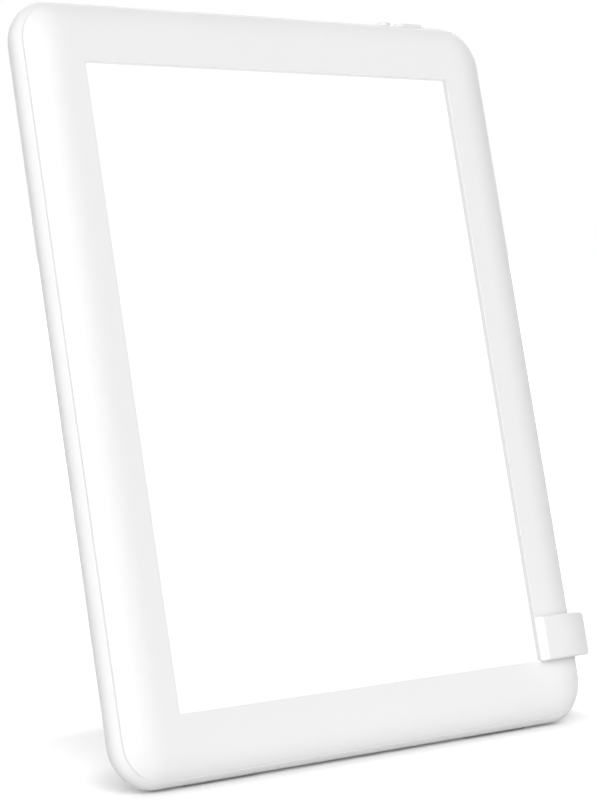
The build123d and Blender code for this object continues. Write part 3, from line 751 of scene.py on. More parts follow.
@dataclass(frozen=True)
class Outline:
    """A polygon with rounded corners that can be drawn at any inset.

    Moved in by inset and radius together, the polygon's corner is the centre of that corner's
    arc, which runs from the normal of the side before it to that of the side after it. A corner
    that turns outwards has a radius below zero.

    Attributes:
        corners: The polygon's corners, anticlockwise.
        arc_points: Points on each corner's arc.
        side_points: Points between two arcs.
    """

    corners: np.ndarray
    arc_points: int = 8
    side_points: int = 0

    @classmethod
    def rectangle(cls, width: float, height: float, arc_points: int = 8, side_points: int = 0) -> Outline:
        """A rectangle about zero."""
        corners = np.array([[1, -1], [1, 1], [-1, 1], [-1, -1]]) * (width / 2, height / 2)
        return cls(corners, arc_points, side_points)

    def rings(self, inset: Numbers, radius: Numbers | float, least: float = 0.02 * MM) -> np.ndarray:
        """Draws the outline at several insets.

        Args:
            inset: How far in each ring lies.
            radius: Corner radius before the inset, one for all or one for each corner.
            least: The smallest radius left on a corner that turns inwards.

        Returns:
            Points in an array of rings by points by two.
        """
        side = np.roll(self.corners, -1, axis=0) - self.corners
        after = np.stack([side[:, 1], -side[:, 0]], -1) / np.linalg.norm(side, axis=1, keepdims=True)
        before = np.roll(after, 1, axis=0)
        dot = (before * after).sum(-1)
        cross = before[:, 0] * after[:, 1] - before[:, 1] * after[:, 0]
        bisector = (before + after) / (1 + dot)[:, None]
        inset = np.asarray(inset, float)[:, None]
        kept = np.broadcast_to(radius, (len(inset), len(self.corners))) - inset
        kept = np.where(cross > 0, np.maximum(kept, least), kept)
        centre = self.corners - (inset + kept)[..., None] * bisector
        share = np.linspace(0, 1, self.arc_points)
        turn = np.arctan2(before[:, 1], before[:, 0])[:, None] + np.arctan2(cross, dot)[:, None] * share
        points = centre[:, :, None] + kept[..., None, None] * around(turn)
        if self.side_points:
            share = np.linspace(0, 1, self.side_points + 2)[1:-1, None]
            start, end = points[:, :, -1:], np.roll(points, -1, axis=1)[:, :, :1]
            points = np.concatenate([points, start + (end - start) * share], axis=2)
        return points.reshape(len(inset), -1, 2)


def circle_rings(radius: Numbers, count: int) -> np.ndarray:
    """Circles about zero, one for each radius, in an array of rings by points by two."""
    turn = np.linspace(0, math.tau, count, endpoint=False)
    return np.asarray(radius, float)[:, None, None] * around(turn)


def with_height(rings: np.ndarray, height: Numbers) -> np.ndarray:
    """Lifts each flat ring to its height, as a third coordinate."""
    lifted = np.broadcast_to(np.asarray(height, float)[:, None], rings.shape[:2])
    return np.concatenate([rings, lifted[..., None]], axis=-1)


def slab_profile(
    span: tuple[float, float], edges: tuple[float, float], hold: float
) -> tuple[np.ndarray, np.ndarray]:
    """A slab's side from its lower to its upper face, with a quarter circle at each edge.

    Args:
        span: Heights of the lower and the upper face.
        edges: Radii of the lower and the upper edge.
        hold: How far inside the edges the last flat ring lies.

    Returns:
        The rings' insets and their heights.
    """
    low, high = span
    low_fall, low_rise = rounded(edges[0])
    high_fall, high_rise = rounded(edges[1])
    inset = [[edges[0] + hold], low_fall, high_rise, [edges[1] + hold]]
    height = [[low], low + low_rise, high - high_fall, [high]]
    return np.concatenate(inset), np.concatenate(height)


class Skin:
    """Grids of points gathered into one mesh of closed shells."""

    def __init__(self, axes: Axes) -> None:
        """Starts empty.

        Args:
            axes: The axes that the shells' coordinates are measured along.
        """
        self.axes = axes
        self.points: list[np.ndarray] = []
        self.faces: list[list[int]] = []
        self.count = 0

    def shell(self, grid: np.ndarray, closed: bool = False) -> Skin:
        """Adds a closed shell whose rows are rings, and turns its faces outwards.

        Args:
            grid: Points by row, column and coordinate.
            closed: Whether the last row joins the first; if not, a flat face closes each end.

        Returns:
            The skin itself.
        """
        rows, columns = grid.shape[:2]
        points = self.axes.place(grid).reshape(-1, 3)
        index = np.arange(rows * columns).reshape(rows, columns)
        right = np.roll(index, -1, axis=1)
        above, above_right = np.roll(index, -1, axis=0), np.roll(right, -1, axis=0)
        quads = np.stack([index, right, above_right, above], -1)
        quads = (quads if closed else quads[:-1]).reshape(-1, 4)
        caps = [] if closed else [index[0, ::-1], index[-1]]
        fans = [np.stack([np.full(columns - 2, cap[0]), cap[1:-1], cap[2:]], -1) for cap in caps]
        triangles = np.concatenate([quads[:, [0, 1, 2]], quads[:, [0, 2, 3]], *fans])
        a, b, c = (points[triangles[:, i]] - points.mean(axis=0) for i in range(3))
        inside_out = (a * np.cross(b, c)).sum() < 0
        order = -1 if inside_out else 1
        self.faces += (quads[:, ::order] + self.count).tolist()
        self.faces += [(cap[::order] + self.count).tolist() for cap in caps]
        self.points.append(points)
        self.count += len(points)
        return self

    def slab(
        self,
        outline: Outline,
        radius: Numbers | float,
        span: tuple[float, float],
        edges: tuple[float, float],
        middle: tuple[float, float] = (0.0, 0.0),
        hold: float = 0.3 * MM,
    ) -> Skin:
        """Adds a flat slab with rounded corners and edges.

        Args:
            outline: The slab's outline.
            radius: Its corner radius or radii.
            span: Heights of the lower and the upper face.
            edges: Radii of the lower and the upper edge.
            middle: Where the outline's zero lies.
            hold: How far inside the edges the last flat ring lies.

        Returns:
            The skin itself.
        """
        inset, height = slab_profile(span, edges, hold)
        return self.shell(with_height(outline.rings(inset, radius) + np.array(middle), height))

    def piece(self, name: str, finish: Finish, slot: str, body: str, *stands_for: str) -> bpy.types.Object:
        """Makes the piece, links it to the scene and parents it to its body's empty.

        Args:
            name: The piece's name.
            finish: Its finish.
            slot: The record's material slot that it takes its finish from; not used.
            body: The body it rides on.
            *stands_for: CAD nodes that it replaces.

        Returns:
            The piece's object.
        """
        mesh = bpy.data.meshes.new(name)
        mesh.from_pydata(np.concatenate(self.points).tolist(), [], self.faces)
        mesh.validate()
        mesh.shade_smooth()
        mesh.set_sharp_from_angle(angle=SHARP_ANGLE)
        mesh.materials.append(finish.build())
        made = bpy.data.objects.new(name, mesh)
        bpy.context.scene.collection.objects.link(made)
        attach(made, body)
        if stands_for:
            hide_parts(*stands_for)
        log.info("%s rides on %s, %d faces", name, body, len(mesh.polygons))
        return made


# ------------------------------------------------------------------ case


@dataclass(frozen=True)
class Case:
    """The two-part case: its front bezel, the seal behind the bezel's lip, and the feet.

    The edge curve is two quarter ellipses that meet at the widest line. Its turn is -90 degrees
    at the front face, 0 at the widest line and 90 at the back face.

    Attributes:
        panel: The leaning panel's frame.
        border: From the case's outer edge to the window.
        corner: Corner radius on the widest line.
        flat_corner: Corner radius where the edge curve meets the front face.
        widest: Depth of the widest line.
        reach: How far in the edge curve runs on its way to the front face.
        seam: Depth of the seam between bezel and back cover.
        lip: Depth of the lip in front of the seal.
        lip_edge: Radius of the lip's edge.
        hold: How far a flat ring lies inside a rounded edge.
        seal_seat: How far the seal's seat is cut back from the window.
        notch: From where to where, to the right, the tongue is left out below the buttons.
        notch_step: What stands there in its place.
        post_side: How far to the side the four side posts stand.
        post_rise: How far above and below the middle they stand.
        post_end_rise: How far above and below it the two end posts stand.
        post_start: Depth of a post's root, inside the front wall.
        post_floor: Depth of its bore's floor.
        post_end: Depth of its end.
        post_ease: Chamfer on its end.
    """

    panel: Panel
    width: float = 185.6 * MM
    height: float = 240.0 * MM
    thick: float = 20.0 * MM
    border: float = 20.7 * MM
    wall: float = 2.0 * MM
    corner: float = 14.0 * MM
    flat_corner: float = 2.5 * MM
    widest: float = 8.0 * MM
    reach: float = 14.0 * MM
    seam: float = 3.8 * MM
    lip: float = 0.15 * MM
    lip_edge: float = 0.04 * MM
    hold: float = 0.4 * MM
    seal_seat: float = 0.5 * MM
    seal_gap: float = 0.02 * MM
    tongue_gap: float = 0.2 * MM
    tongue_width: float = 1.0 * MM
    tongue_length: float = 1.4 * MM
    notch: tuple[float, float] = (40.0 * MM, 80.0 * MM)
    notch_step: float = 0.02 * MM
    post_side: float = 83.89 * MM
    post_rise: float = 66.0 * MM
    post_end_rise: float = 110.74 * MM
    post_radius: float = 2.8 * MM
    post_bore: float = 1.3 * MM
    post_start: float = 1.7 * MM
    post_floor: float = 2.8 * MM
    post_end: float = 6.6 * MM
    post_ease: float = 0.2 * MM
    foot_length: float = 26.0 * MM
    foot_corner: float = 1.2 * MM
    foot_edges: tuple[float, float] = (0.3 * MM, 0.2 * MM)

    def edge_curve(
        self, wall: float, first: float, last: float, count: int
    ) -> tuple[np.ndarray, np.ndarray, np.ndarray]:
        """The front edge curve, from one turn to another.

        The inset is the wall plus the reach inside it times one minus the turn's cosine. The
        depth is the widest line's, plus what that is inside the wall times the turn's sine.

        Args:
            wall: How far inside the outer surface it runs.
            first: Turn where it starts, in radians.
            last: Turn where it ends.
            count: Points on it.

        Returns:
            Insets, depths and corner radii.
        """
        turn = np.linspace(first, last, count)
        run = (self.reach - wall) * (1 - np.cos(turn))
        corner = self.corner - wall + (self.flat_corner - self.corner) * run / (self.reach - wall)
        return wall + run, self.widest + (self.widest - wall) * np.sin(turn), corner

    def turn_at(self, wall: float, depth: float | None = None, inset: float | None = None) -> float:
        """The front edge curve's turn at a depth or an inset: edge_curve's formulas turned round.

        Args:
            wall: How far inside the outer surface the curve runs.
            depth: The depth, or None where the inset is given.
            inset: The inset.

        Returns:
            The turn in radians.
        """
        if depth is not None:
            return -math.asin((self.widest - depth) / (self.widest - wall))
        return -math.acos(1 - (inset - wall) / (self.reach - wall))

    def bezel(self) -> None:
        """Makes the front bezel: its section carried round the case's outline, and six posts."""
        front, at_seam = -math.pi / 2, self.turn_at(self.wall, depth=self.seam)
        outside = self.edge_curve(0.0, self.turn_at(0.0, depth=self.seam), front, 16)
        tongue_out = self.edge_curve(self.wall, at_seam, 0.0, 1)[0][0] + self.tongue_gap
        tongue_in = tongue_out + self.tongue_width
        inside = self.edge_curve(self.wall, front, self.turn_at(self.wall, inset=tongue_in), 12)
        rest = self.edge_curve(self.wall, self.turn_at(self.wall, inset=tongue_out), at_seam, 2)
        fall, rise = rounded(self.lip_edge, 4)
        seat = self.border - self.seal_seat
        tip = self.seam + self.tongue_length
        hold, flat, face = self.hold, self.flat_corner, self.reach + self.hold
        section = [
            outside,
            ([face, self.border - self.lip_edge - hold], [0.0, 0.0], [flat, 0.0]),
            (self.border - fall, rise, np.zeros(4)),
            ([self.border, seat, seat, face], [self.lip, self.lip, self.wall, self.wall], [0, 0, 0, flat]),
            inside,
            ([tongue_in, tongue_out], [tip, tip], [inside[2][-1], rest[2][0]]),
            rest,
        ]
        inset, depth, corner = (np.concatenate([part[i] for part in section]) for i in range(3))
        outline = Outline.rectangle(self.width, self.height, arc_points=14, side_points=15)
        rings = outline.rings(inset, (corner + inset)[:, None])
        grid = with_height(rings, depth)
        # the tongue is left out below the buttons
        low, high = self.notch
        row = sum(len(part[0]) for part in section[:5])
        top = (rings[row, :, 0] > low) & (rings[row, :, 0] < high) & (rings[row, :, 1] > 0)
        grid[row, top, 2] = inside[1][-1] + self.notch_step
        grid[row + 1, top, 2] = rest[1][0] + self.notch_step
        skin = Skin(self.panel.axes).shell(grid, closed=True)
        for side, height in self.post_places():
            skin.shell(self.post(side, height))
        skin.piece("bezel_shell", WHITE_CASE, "case_white", "case", "front_bezel")

    def post_places(self) -> list[tuple[float, float]]:
        """Where the six screw posts stand: four at the sides, one at each end."""
        side, rise, end = self.post_side, self.post_rise, self.post_end_rise
        return [(-side, -rise), (-side, rise), (side, -rise), (side, rise), (0.0, -end), (0.0, end)]

    def post(self, side: float, height: float) -> np.ndarray:
        """A screw post with a blind bore, turned about its own axis.

        Args:
            side: Where it stands, to the right.
            height: Where it stands, up the panel.

        Returns:
            The post's rings.
        """
        outer, bore, end, ease = self.post_radius, self.post_bore, self.post_end, self.post_ease
        radius = [outer, outer, outer - ease, bore + ease, bore, bore]
        depth = [self.post_start, end - ease, end, end, end - ease, self.post_floor]
        return with_height(circle_rings(radius, 32) + np.array([side, height]), depth)

    def seal(self) -> None:
        """Makes the clear seal that lines the window's wall. Its glow is painted light: a fixed glow on a
        dark base that gives the wall its grey tone.
        """
        near, far = self.border - self.seal_gap, self.border - self.seal_seat + self.seal_gap
        front, back = self.lip + self.seal_gap, self.wall - self.seal_gap
        inset = np.array([near, near, far, far])
        rings = Outline.rectangle(self.width, self.height, 4).rings(inset, inset[:, None])
        skin = Skin(self.panel.axes).shell(with_height(rings, [front, back, back, front]), closed=True)
        skin.piece("window_seal", PAINTED_GLOW_SEAL, "diffuser_opal", "case")

    def feet(self) -> None:
        """Makes the two rubber feet, one at each end of the CAD feet's box."""
        low, high = np.array(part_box("case_feet"))
        skin = Skin(Axes(np.array([0.0, (low[1] + high[1]) / 2, 0.0]), np.eye(3)))
        outline = Outline.rectangle(self.foot_length, high[1] - low[1], 6)
        for middle in (low[0] + self.foot_length / 2, high[0] - self.foot_length / 2):
            skin.slab(outline, self.foot_corner, (0.0, high[2]), self.foot_edges, (middle, 0.0))
        skin.piece("rubber_feet", GREY_RUBBER, "rubber_grey", "case", "case_feet")

    def build(self) -> None:
        """Makes all of the case's own pieces."""
        self.bezel()
        self.seal()
        self.feet()


# ------------------------------------------------------------------ buttons


class Sign(Enum):
    """The raised sign on a button."""

    POWER = "power"
    BRIGHTNESS = "brightness"


@dataclass(frozen=True)
class Button:
    """A push button in the top edge: a dished cap with a flange and a stem.

    Attributes:
        panel: The leaning panel's frame.
        name: Its CAD node and its body, which have one name.
        sign: The sign on its cap.
        middle: Its side coordinate.
        length: The cap's length along the edge.
        width: The cap's width across it.
        flange_top: Height of the flange's upper face.
        depth: How far behind the front face its middle lies.
        cap_top: Height of the cap's rim.
        cap_edge: Radius of the cap's upper edge.
        dish: How far the dish's middle lies below the rim.
        first_ring: The dish's innermost ring, as a share of the way out.
        flange: How far the flange stands out, and its thickness.
        stem_foot: Height of the stem's foot.
        sign_rise: How far the sign stands above the dish's middle.
        sign_width: Width of the sign's lines.
        sign_flat: Share of that width which is flat on top.
        ring: Radius of the power sign's circle.
        ring_turn: Where that circle starts and ends, in degrees.
        bar: Where the power sign's bar starts and ends.
        sun: Radius of the sun.
        ray: Where its rays start and end.
        rays: How many it has.
    """

    panel: Panel
    name: str
    sign: Sign
    middle: float
    length: float
    width: float
    flange_top: float
    depth: float = 8.0 * MM
    cap_top: float = 120.5 * MM
    cap_edge: float = 0.35 * MM
    dish: float = 0.18 * MM
    first_ring: float = 0.12
    flange: float = 0.8 * MM
    stem_radius: float = 1.4 * MM
    stem_foot: float = 113.2 * MM
    sign_rise: float = 0.1 * MM
    sign_width: float = 0.3 * MM
    sign_flat: float = 0.75
    ring: float = 1.05 * MM
    ring_turn: tuple[float, float] = (130, 410)
    bar: tuple[float, float] = (0.35 * MM, 1.4 * MM)
    sun: float = 0.55 * MM
    ray: tuple[float, float] = (1.0 * MM, 1.5 * MM)
    rays: int = 8

    def cap(self) -> None:
        """Makes the cap, whose dish deepens with one minus the squared share of the way out."""
        half, flange = self.width / 2, self.flange
        share = np.linspace(self.first_ring, 1, 7)
        fall, rise = rounded(self.cap_edge)
        inset = [half - (half - self.cap_edge) * share, fall[1:], [0.0, -flange, -flange]]
        height = [
            self.cap_top - self.dish * (1 - share**2),
            self.cap_top - rise[1:],
            [self.flange_top, self.flange_top, self.flange_top - flange],
        ]
        place = np.array([self.middle, self.depth])
        rings = Outline.rectangle(self.length, self.width, 12).rings(np.concatenate(inset), half) + place
        skin = Skin(self.panel.edge_axes).shell(with_height(rings, np.concatenate(height)))
        stem = circle_rings([self.stem_radius] * 2, 24) + place
        skin.shell(with_height(stem, [self.flange_top - flange / 2, self.stem_foot]))
        skin.piece(self.name + "_cap", WHITE_BUTTON, "button_white", self.name, self.name)

    def line(self, skin: Skin, path: np.ndarray) -> None:
        """Adds a raised line to a sign: a flat-topped section carried along a path.

        Args:
            skin: The sign's skin.
            path: Points of side and depth about the button's middle.
        """
        ahead = np.gradient(path, axis=0)
        ahead /= np.linalg.norm(ahead, axis=1, keepdims=True)
        across = np.stack([-ahead[:, 1], ahead[:, 0]], -1) * self.sign_width / 2
        top = self.cap_top - self.dish + self.sign_rise
        foot, shoulder, flat = top - 2 * self.sign_rise, top - self.sign_rise / 3, self.sign_flat
        section = ((-1.0, foot), (-1.0, shoulder), (-flat, top), (flat, top), (1.0, shoulder), (1.0, foot))
        columns = [np.concatenate([path + across * s, np.full((len(path), 1), h)], -1) for s, h in section]
        skin.shell(np.stack(columns, axis=1) + np.array([self.middle, self.depth, 0.0]))

    def raised_sign(self) -> None:
        """Makes the sign: an open circle with a bar for power, a sun for brightness."""
        skin = Skin(self.panel.edge_axes)
        if self.sign is Sign.POWER:
            self.line(skin, self.ring * around(np.radians(np.linspace(*self.ring_turn, 33))))
            self.line(skin, np.outer(self.bar, [0.0, 1.0]))
        else:
            self.line(skin, self.sun * around(np.linspace(0, math.tau, 25)))
            for way in around(np.linspace(0, math.tau, self.rays, endpoint=False)):
                self.line(skin, np.outer(self.ray, way))
        skin.piece(f"{self.sign.value}_sign", ICON_GREY, "black_plastic", self.name)

    def build(self) -> None:
        """Makes the button."""
        self.cap()
        self.raised_sign()


# ------------------------------------------------------------------ stand


@dataclass(frozen=True)
class Stand:
    """The clip-on stand: a strap round the case's right edge, and a rear plate with the hinge.

    Attributes:
        case: The case that it clips on.
        back_reach: How far in the case's edge curve runs on its way to the back face.
        inside: How far off the case the strap's inner surface lies.
        outside: How far off it the strap's outer surface lies.
        jaw_end: Where the jaw in front of the case ends, to the right.
        jaw_edge: Radius on that end.
        jaw_hold: How far inside that radius the end's flat ring lies.
        jaw_bead: How far a bead on that end narrows the gap to the case.
        bead_end: Where the bead starts to fall and where it is gone, from the jaw's end.
        strap_low: Height of the strap's lower edge.
        strap_end: Where the strap ends on the plate, to the right.
        strap_sink: How far the strap thins there on each side, so that it ends inside the plate.
        outer_edge: Radius of the strap's outer edges.
        inner_edge: Radius of its inner edges.
        side: Where the plate's middle lies, to the right.
        rail_offset: How far each rail lies from that middle.
        rail_short: How much shorter than the plate a rail is.
        rail_rise: How far it stands off the plate.
        rail_sink: How far it reaches into the plate.
        hinge_height: Height of the hinge pin.
        hinge_depth: Its depth.
        knuckle_half_root: Half a knuckle's height at its foot.
        knuckle_foot: Depth of a knuckle's foot.
        knuckle_corner: Corner radius there.
        knuckle_offset: How far each knuckle lies from the plate's middle.
    """

    case: Case
    back_reach: float = 25.0 * MM
    inside: float = 1.1 * MM
    outside: float = 5.0 * MM
    jaw_end: float = 71.3 * MM
    jaw_edge: float = 0.3 * MM
    jaw_hold: float = 0.3 * MM
    jaw_bead: float = 0.7 * MM
    bead_end: tuple[float, float] = (0.31 * MM, 0.37 * MM)
    strap_low: float = -99.7 * MM
    strap_height: float = 14.6 * MM
    strap_end: float = 60.6 * MM
    strap_sink: float = 0.15 * MM
    outer_edge: float = 1.3 * MM
    inner_edge: float = 1.0 * MM
    side: float = 30.0 * MM
    plate_width: float = 64.0 * MM
    plate_top: float = -10.0 * MM
    plate_corner: float = 6.0 * MM
    plate_edges: tuple[float, float] = (0.4 * MM, 0.9 * MM)
    rail_offset: float = 29.0 * MM
    rail_width: float = 3.0 * MM
    rail_short: float = 8.0 * MM
    rail_rise: float = 1.7 * MM
    rail_sink: float = 0.3 * MM
    rail_edges: tuple[float, float] = (0.05 * MM, 0.6 * MM)
    hinge_height: float = -20.0 * MM
    hinge_depth: float = 29.4 * MM
    knuckle_radius: float = 3.8 * MM
    knuckle_half_root: float = 7.6 * MM
    knuckle_foot: float = 24.0 * MM
    knuckle_corner: float = 0.3 * MM
    knuckle_edge: float = 0.5 * MM
    knuckle_offset: float = 25.0 * MM
    knuckle_width: float = 6.0 * MM
    bore: float = 1.55 * MM

    @property
    def panel(self) -> Panel:
        """The leaning panel's frame."""
        return self.case.panel

    def strap_path(self) -> tuple[np.ndarray, np.ndarray, np.ndarray]:
        """The strap's inner and outer line: a jaw, two quarter ellipses and a run to the plate.

        Returns:
            Inner and outer points of side and depth, one row for each place along the strap,
            and how far each row's section is drawn in to round the jaw's end.
        """
        fall, rise = rounded(self.jaw_edge, 6)
        run = np.concatenate([[0.0], rise, self.bead_end])
        inset = np.concatenate([[self.jaw_edge + self.jaw_hold], fall, [0.0, 0.0]])
        widest, thick, quarter = self.case.widest, self.case.thick, np.linspace(0, math.pi / 2, 22)
        front = np.array([self.case.reach, widest])
        back = np.array([self.back_reach, thick - widest])
        front_middle, back_middle = ([self.case.width / 2 - half[0], widest] for half in (front, back))
        lines = []
        for off, sink in ((self.inside, self.strap_sink), (self.outside, -self.strap_sink)):
            # a bead at the jaw's end narrows the gap to the case
            bead = self.jaw_bead * (run < self.bead_end[1]) * (off == self.inside)
            jaw = np.stack([self.jaw_end + run, bead - off], -1)
            ahead = front_middle + around(quarter - math.pi / 2) * (front + off)
            behind = back_middle + around(quarter) * (back + off)
            end = [[self.strap_end, thick + off + sink]]
            lines.append(np.concatenate([jaw, ahead, behind[1:], end]))
        drawn_in = np.zeros(len(lines[0]))
        drawn_in[: len(inset)] = inset
        return lines[0], lines[1], drawn_in

    def strap(self) -> None:
        """Makes the strap: a section with soft outer corners carried along its path."""
        inner, outer, inset = self.strap_path()
        thick = self.outside - self.inside
        section = Outline.rectangle(thick, self.strap_height, 6)
        rings = section.rings(inset, np.repeat([self.outer_edge, self.inner_edge], 2))
        middle, across = (inner + outer) / 2, (outer - inner) / thick
        flat = middle[:, None] + rings[..., :1] * across[:, None]
        height = rings[..., 1:] + self.strap_low + self.strap_height / 2
        skin = Skin(self.panel.axes).shell(np.concatenate([flat[..., :1], height, flat[..., 1:]], axis=-1))
        skin.piece("stand_strap", WHITE_STAND, "stand_white", "stand", "stand_clip")

    def plate(self) -> None:
        """Makes the rear plate with its two rails."""
        tall = self.plate_top - self.strap_low
        middle = (self.side, self.strap_low + tall / 2)
        front, back = self.case.thick + self.inside, self.case.thick + self.outside
        skin = Skin(self.panel.axes)
        outline = Outline.rectangle(self.plate_width, tall, 10)
        skin.slab(outline, self.plate_corner, (front, back), self.plate_edges, middle)
        rail = Outline.rectangle(self.rail_width, tall - self.rail_short, 8)
        span = (back - self.rail_sink, back + self.rail_rise)
        for offset in (-self.rail_offset, self.rail_offset):
            place = (middle[0] + offset, middle[1])
            skin.slab(rail, self.rail_width / 2, span, self.rail_edges, place, hold=0.2 * MM)
        skin.piece("stand_plate", WHITE_STAND, "stand_white", "stand", "stand_clip")

    def knuckles(self) -> None:
        """Makes the two hinge knuckles: a rounded triangle with a bore.

        The triangle's long sides touch the knuckle's circle, so its apex lies where the tangents
        from its foot's corners meet.
        """
        foot = np.array([self.knuckle_foot - self.hinge_depth, self.knuckle_half_root])
        slope = math.atan2(foot[1], -foot[0]) - math.asin(self.knuckle_radius / math.hypot(*foot))
        apex = foot[0] + foot[1] / math.tan(slope)
        outline = Outline(np.array([[foot[0], -foot[1]], [apex, 0.0], [foot[0], foot[1]]]), 14)
        inset, height = slab_profile((0.0, self.knuckle_width), (self.knuckle_edge,) * 2, hold=0.2 * MM)
        rings = outline.rings(inset, [self.knuckle_corner, self.knuckle_radius, self.knuckle_corner])
        bore = self.bore * around(np.arctan2(rings[:1, :, 1], rings[:1, :, 0]))
        grid = with_height(np.concatenate([bore, rings, bore]), [0.0, *height, self.knuckle_width])
        skin = Skin(self.panel.side_axes)
        place = np.array([self.hinge_depth, self.hinge_height, self.side - self.knuckle_width / 2])
        for offset in (-self.knuckle_offset, self.knuckle_offset):
            skin.shell(grid + place + np.array([0.0, 0.0, offset]), closed=True)
        skin.piece("hinge_knuckles", WHITE_STAND, "stand_white", "stand", "stand_clip")

    def build(self) -> None:
        """Makes the stand's own pieces."""
        self.strap()
        self.plate()
        self.knuckles()


# ------------------------------------------------------------------ leg


@dataclass(frozen=True)
class Leg:
    """The folding leg with its barrel, its raised rim and its rubber sole.

    Attributes:
        stand: The stand that it hinges on.
        open_angle: How far it stands off the panel, in radians.
        half_width: Half its width at the hinge.
        half_foot: Half its width at the foot.
        length: From the hinge to the foot.
        shown: From the hinge to the blade's end, which the sole covers.
        heel: How far the blade reaches above the hinge.
        taper_start: How far below the hinge it starts to widen.
        bend: Radius of its side there.
        rim_end: How far below the hinge the rim ends.
        rim_off: How far in from the rim's outline the rim starts.
        rim_sink: How far the rim reaches into the blade.
        edge: Radius of the blade's and the rim's edges.
        barrel_ease: Chamfer on the barrel's ends.
        sole_half: Half the sole's length on the floor.
        groove_share: A groove lies where the cosine of the way across is below this.
        sole_points: Sections across the sole, enough for the grooves' sides.
    """

    stand: Stand
    open_angle: float = math.radians(34.0)
    half_width: float = 21.0 * MM
    half_foot: float = 25.0 * MM
    length: float = 98.0 * MM
    shown: float = 95.0 * MM
    thick: float = 3.2 * MM
    heel: float = 5.4 * MM
    heel_corner: float = 0.8 * MM
    foot_corner: float = 1.0 * MM
    taper_start: float = 8.0 * MM
    bend: float = 30.0 * MM
    rim_end: float = 84.0 * MM
    rim_off: float = 0.45 * MM
    rim_width: float = 2.0 * MM
    rim_rise: float = 1.8 * MM
    rim_sink: float = 0.3 * MM
    rim_corner: float = 2.6 * MM
    edge: float = 0.5 * MM
    barrel_radius: float = 3.6 * MM
    barrel_ease: float = 0.4 * MM
    sole_height: float = 8.0 * MM
    sole_half: float = 2.972 * MM
    sole_corner: float = 0.9 * MM
    sole_edge: float = 0.7 * MM
    groove_pitch: float = 4.0 * MM
    groove_depth: float = 0.35 * MM
    groove_share: float = -0.72
    sole_points: int = 205

    @property
    def panel(self) -> Panel:
        """The leaning panel's frame."""
        return self.stand.panel

    @property
    def tilt(self) -> float:
        """How far the leg is from upright."""
        return self.open_angle - self.panel.lean

    @property
    def hinge(self) -> np.ndarray:
        """The hinge's middle in the shared frame."""
        stand = self.stand
        return self.panel.axes.place(np.array([stand.side, stand.hinge_height, stand.hinge_depth]))

    def half_at(self, down: float) -> float:
        """Half the leg's width at a distance below the hinge."""
        share = (down - self.taper_start) / (self.length - self.taper_start)
        return self.half_width + (self.half_foot - self.half_width) * share

    def blade(self) -> None:
        """Makes the leg: a tapered slab, a rim round its rear face, and the barrel."""
        face = np.array([0.0, math.cos(self.tilt), math.sin(self.tilt)])
        up = np.array([0.0, -math.sin(self.tilt), math.cos(self.tilt)])
        skin = Skin(Axes(self.hinge, np.array([RIGHT, up, face])))
        foot, top, start = self.half_at(self.shown), self.half_width, -self.taper_start
        corners = [(-foot, -self.shown), (foot, -self.shown), (top, start), (top, self.heel)]
        corners += [(-top, self.heel), (-top, start)]
        low, side, high = self.foot_corner, -self.bend, self.heel_corner
        radius = np.array([low, low, side, high, high, side])
        skin.slab(Outline(np.array(corners)), radius, (-self.thick / 2, self.thick / 2), (self.edge,) * 2)
        skin.shell(self.rim(), closed=True)
        skin.axes = Axes(self.hinge, self.panel.side_axes.along)
        skin.shell(self.barrel(), closed=True)
        skin.piece("leg_blade", WHITE_STAND, "stand_white", "leg", "stand_leg")

    def rim(self) -> np.ndarray:
        """The raised rim: a round-topped section carried round the blade's rear face."""
        foot, top = self.half_at(self.rim_end), self.half_width
        end, start = -self.rim_end, -self.taper_start
        outline = Outline(np.array([(-foot, end), (foot, end), (top, start), (-top, start)]), 8)
        fall, rise = rounded(self.edge)
        outer, inner = self.rim_off, self.rim_off + self.rim_width
        root, crest = self.thick / 2 - self.rim_sink, self.thick / 2 + self.rim_rise
        inset = np.concatenate([[outer], outer + rise, inner - fall, [inner]])
        height = np.concatenate([[root], crest - fall, crest - rise, [root]])
        return with_height(outline.rings(inset, self.rim_corner), height)

    def barrel(self) -> np.ndarray:
        """The hinge barrel: a tube with eased ends."""
        ease, half = self.barrel_ease, self.half_width
        radius = [self.stand.bore, self.barrel_radius - ease, self.barrel_radius]
        place = [-half, -half, ease - half]
        return with_height(circle_rings(radius + radius[::-1], 40), place + [-p for p in place[::-1]])

    def sole(self) -> None:
        """Makes the ribbed rubber sole.

        Its section, a leaning block, is carried across the leg. The section is drawn in at both
        ends and at each groove between two ribs.
        """
        low, high = np.array(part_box("leg_sole"))
        front, back, top = -self.sole_half, self.sole_half, self.sole_height
        slant = top * math.tan(self.tilt)
        corners = [(front, 0.0), (back, 0.0), (back - slant, top), (front - slant, top)]
        outline = Outline(np.array(corners), 5)
        half, edge = (high[0] - low[0]) / 2, self.sole_edge
        fall, rise = rounded(edge)
        across = np.linspace(edge - half, half - edge, self.sole_points)[1:-1]
        groove = self.groove_depth * (np.cos(across / self.groove_pitch * math.tau) < self.groove_share)
        hold = [edge + 0.2 * MM]
        place = np.concatenate([[-half], rise - half, across, half - rise[::-1], [half]])
        inset = np.concatenate([hold, fall, groove, fall[::-1], hold])
        middle = np.array([(low[0] + high[0]) / 2, high[1] - self.sole_half, 0.0])
        skin = Skin(Axes(middle, np.array([[0.0, 1.0, 0.0], [0.0, 0.0, 1.0], RIGHT])))
        skin.shell(with_height(outline.rings(inset, self.sole_corner), place))
        skin.piece("ribbed_sole", GREY_RUBBER, "rubber_grey", "leg", "leg_sole")

    def build(self) -> None:
        """Makes the leg's own pieces."""
        self.blade()
        self.sole()


# ------------------------------------------------------------------ studio


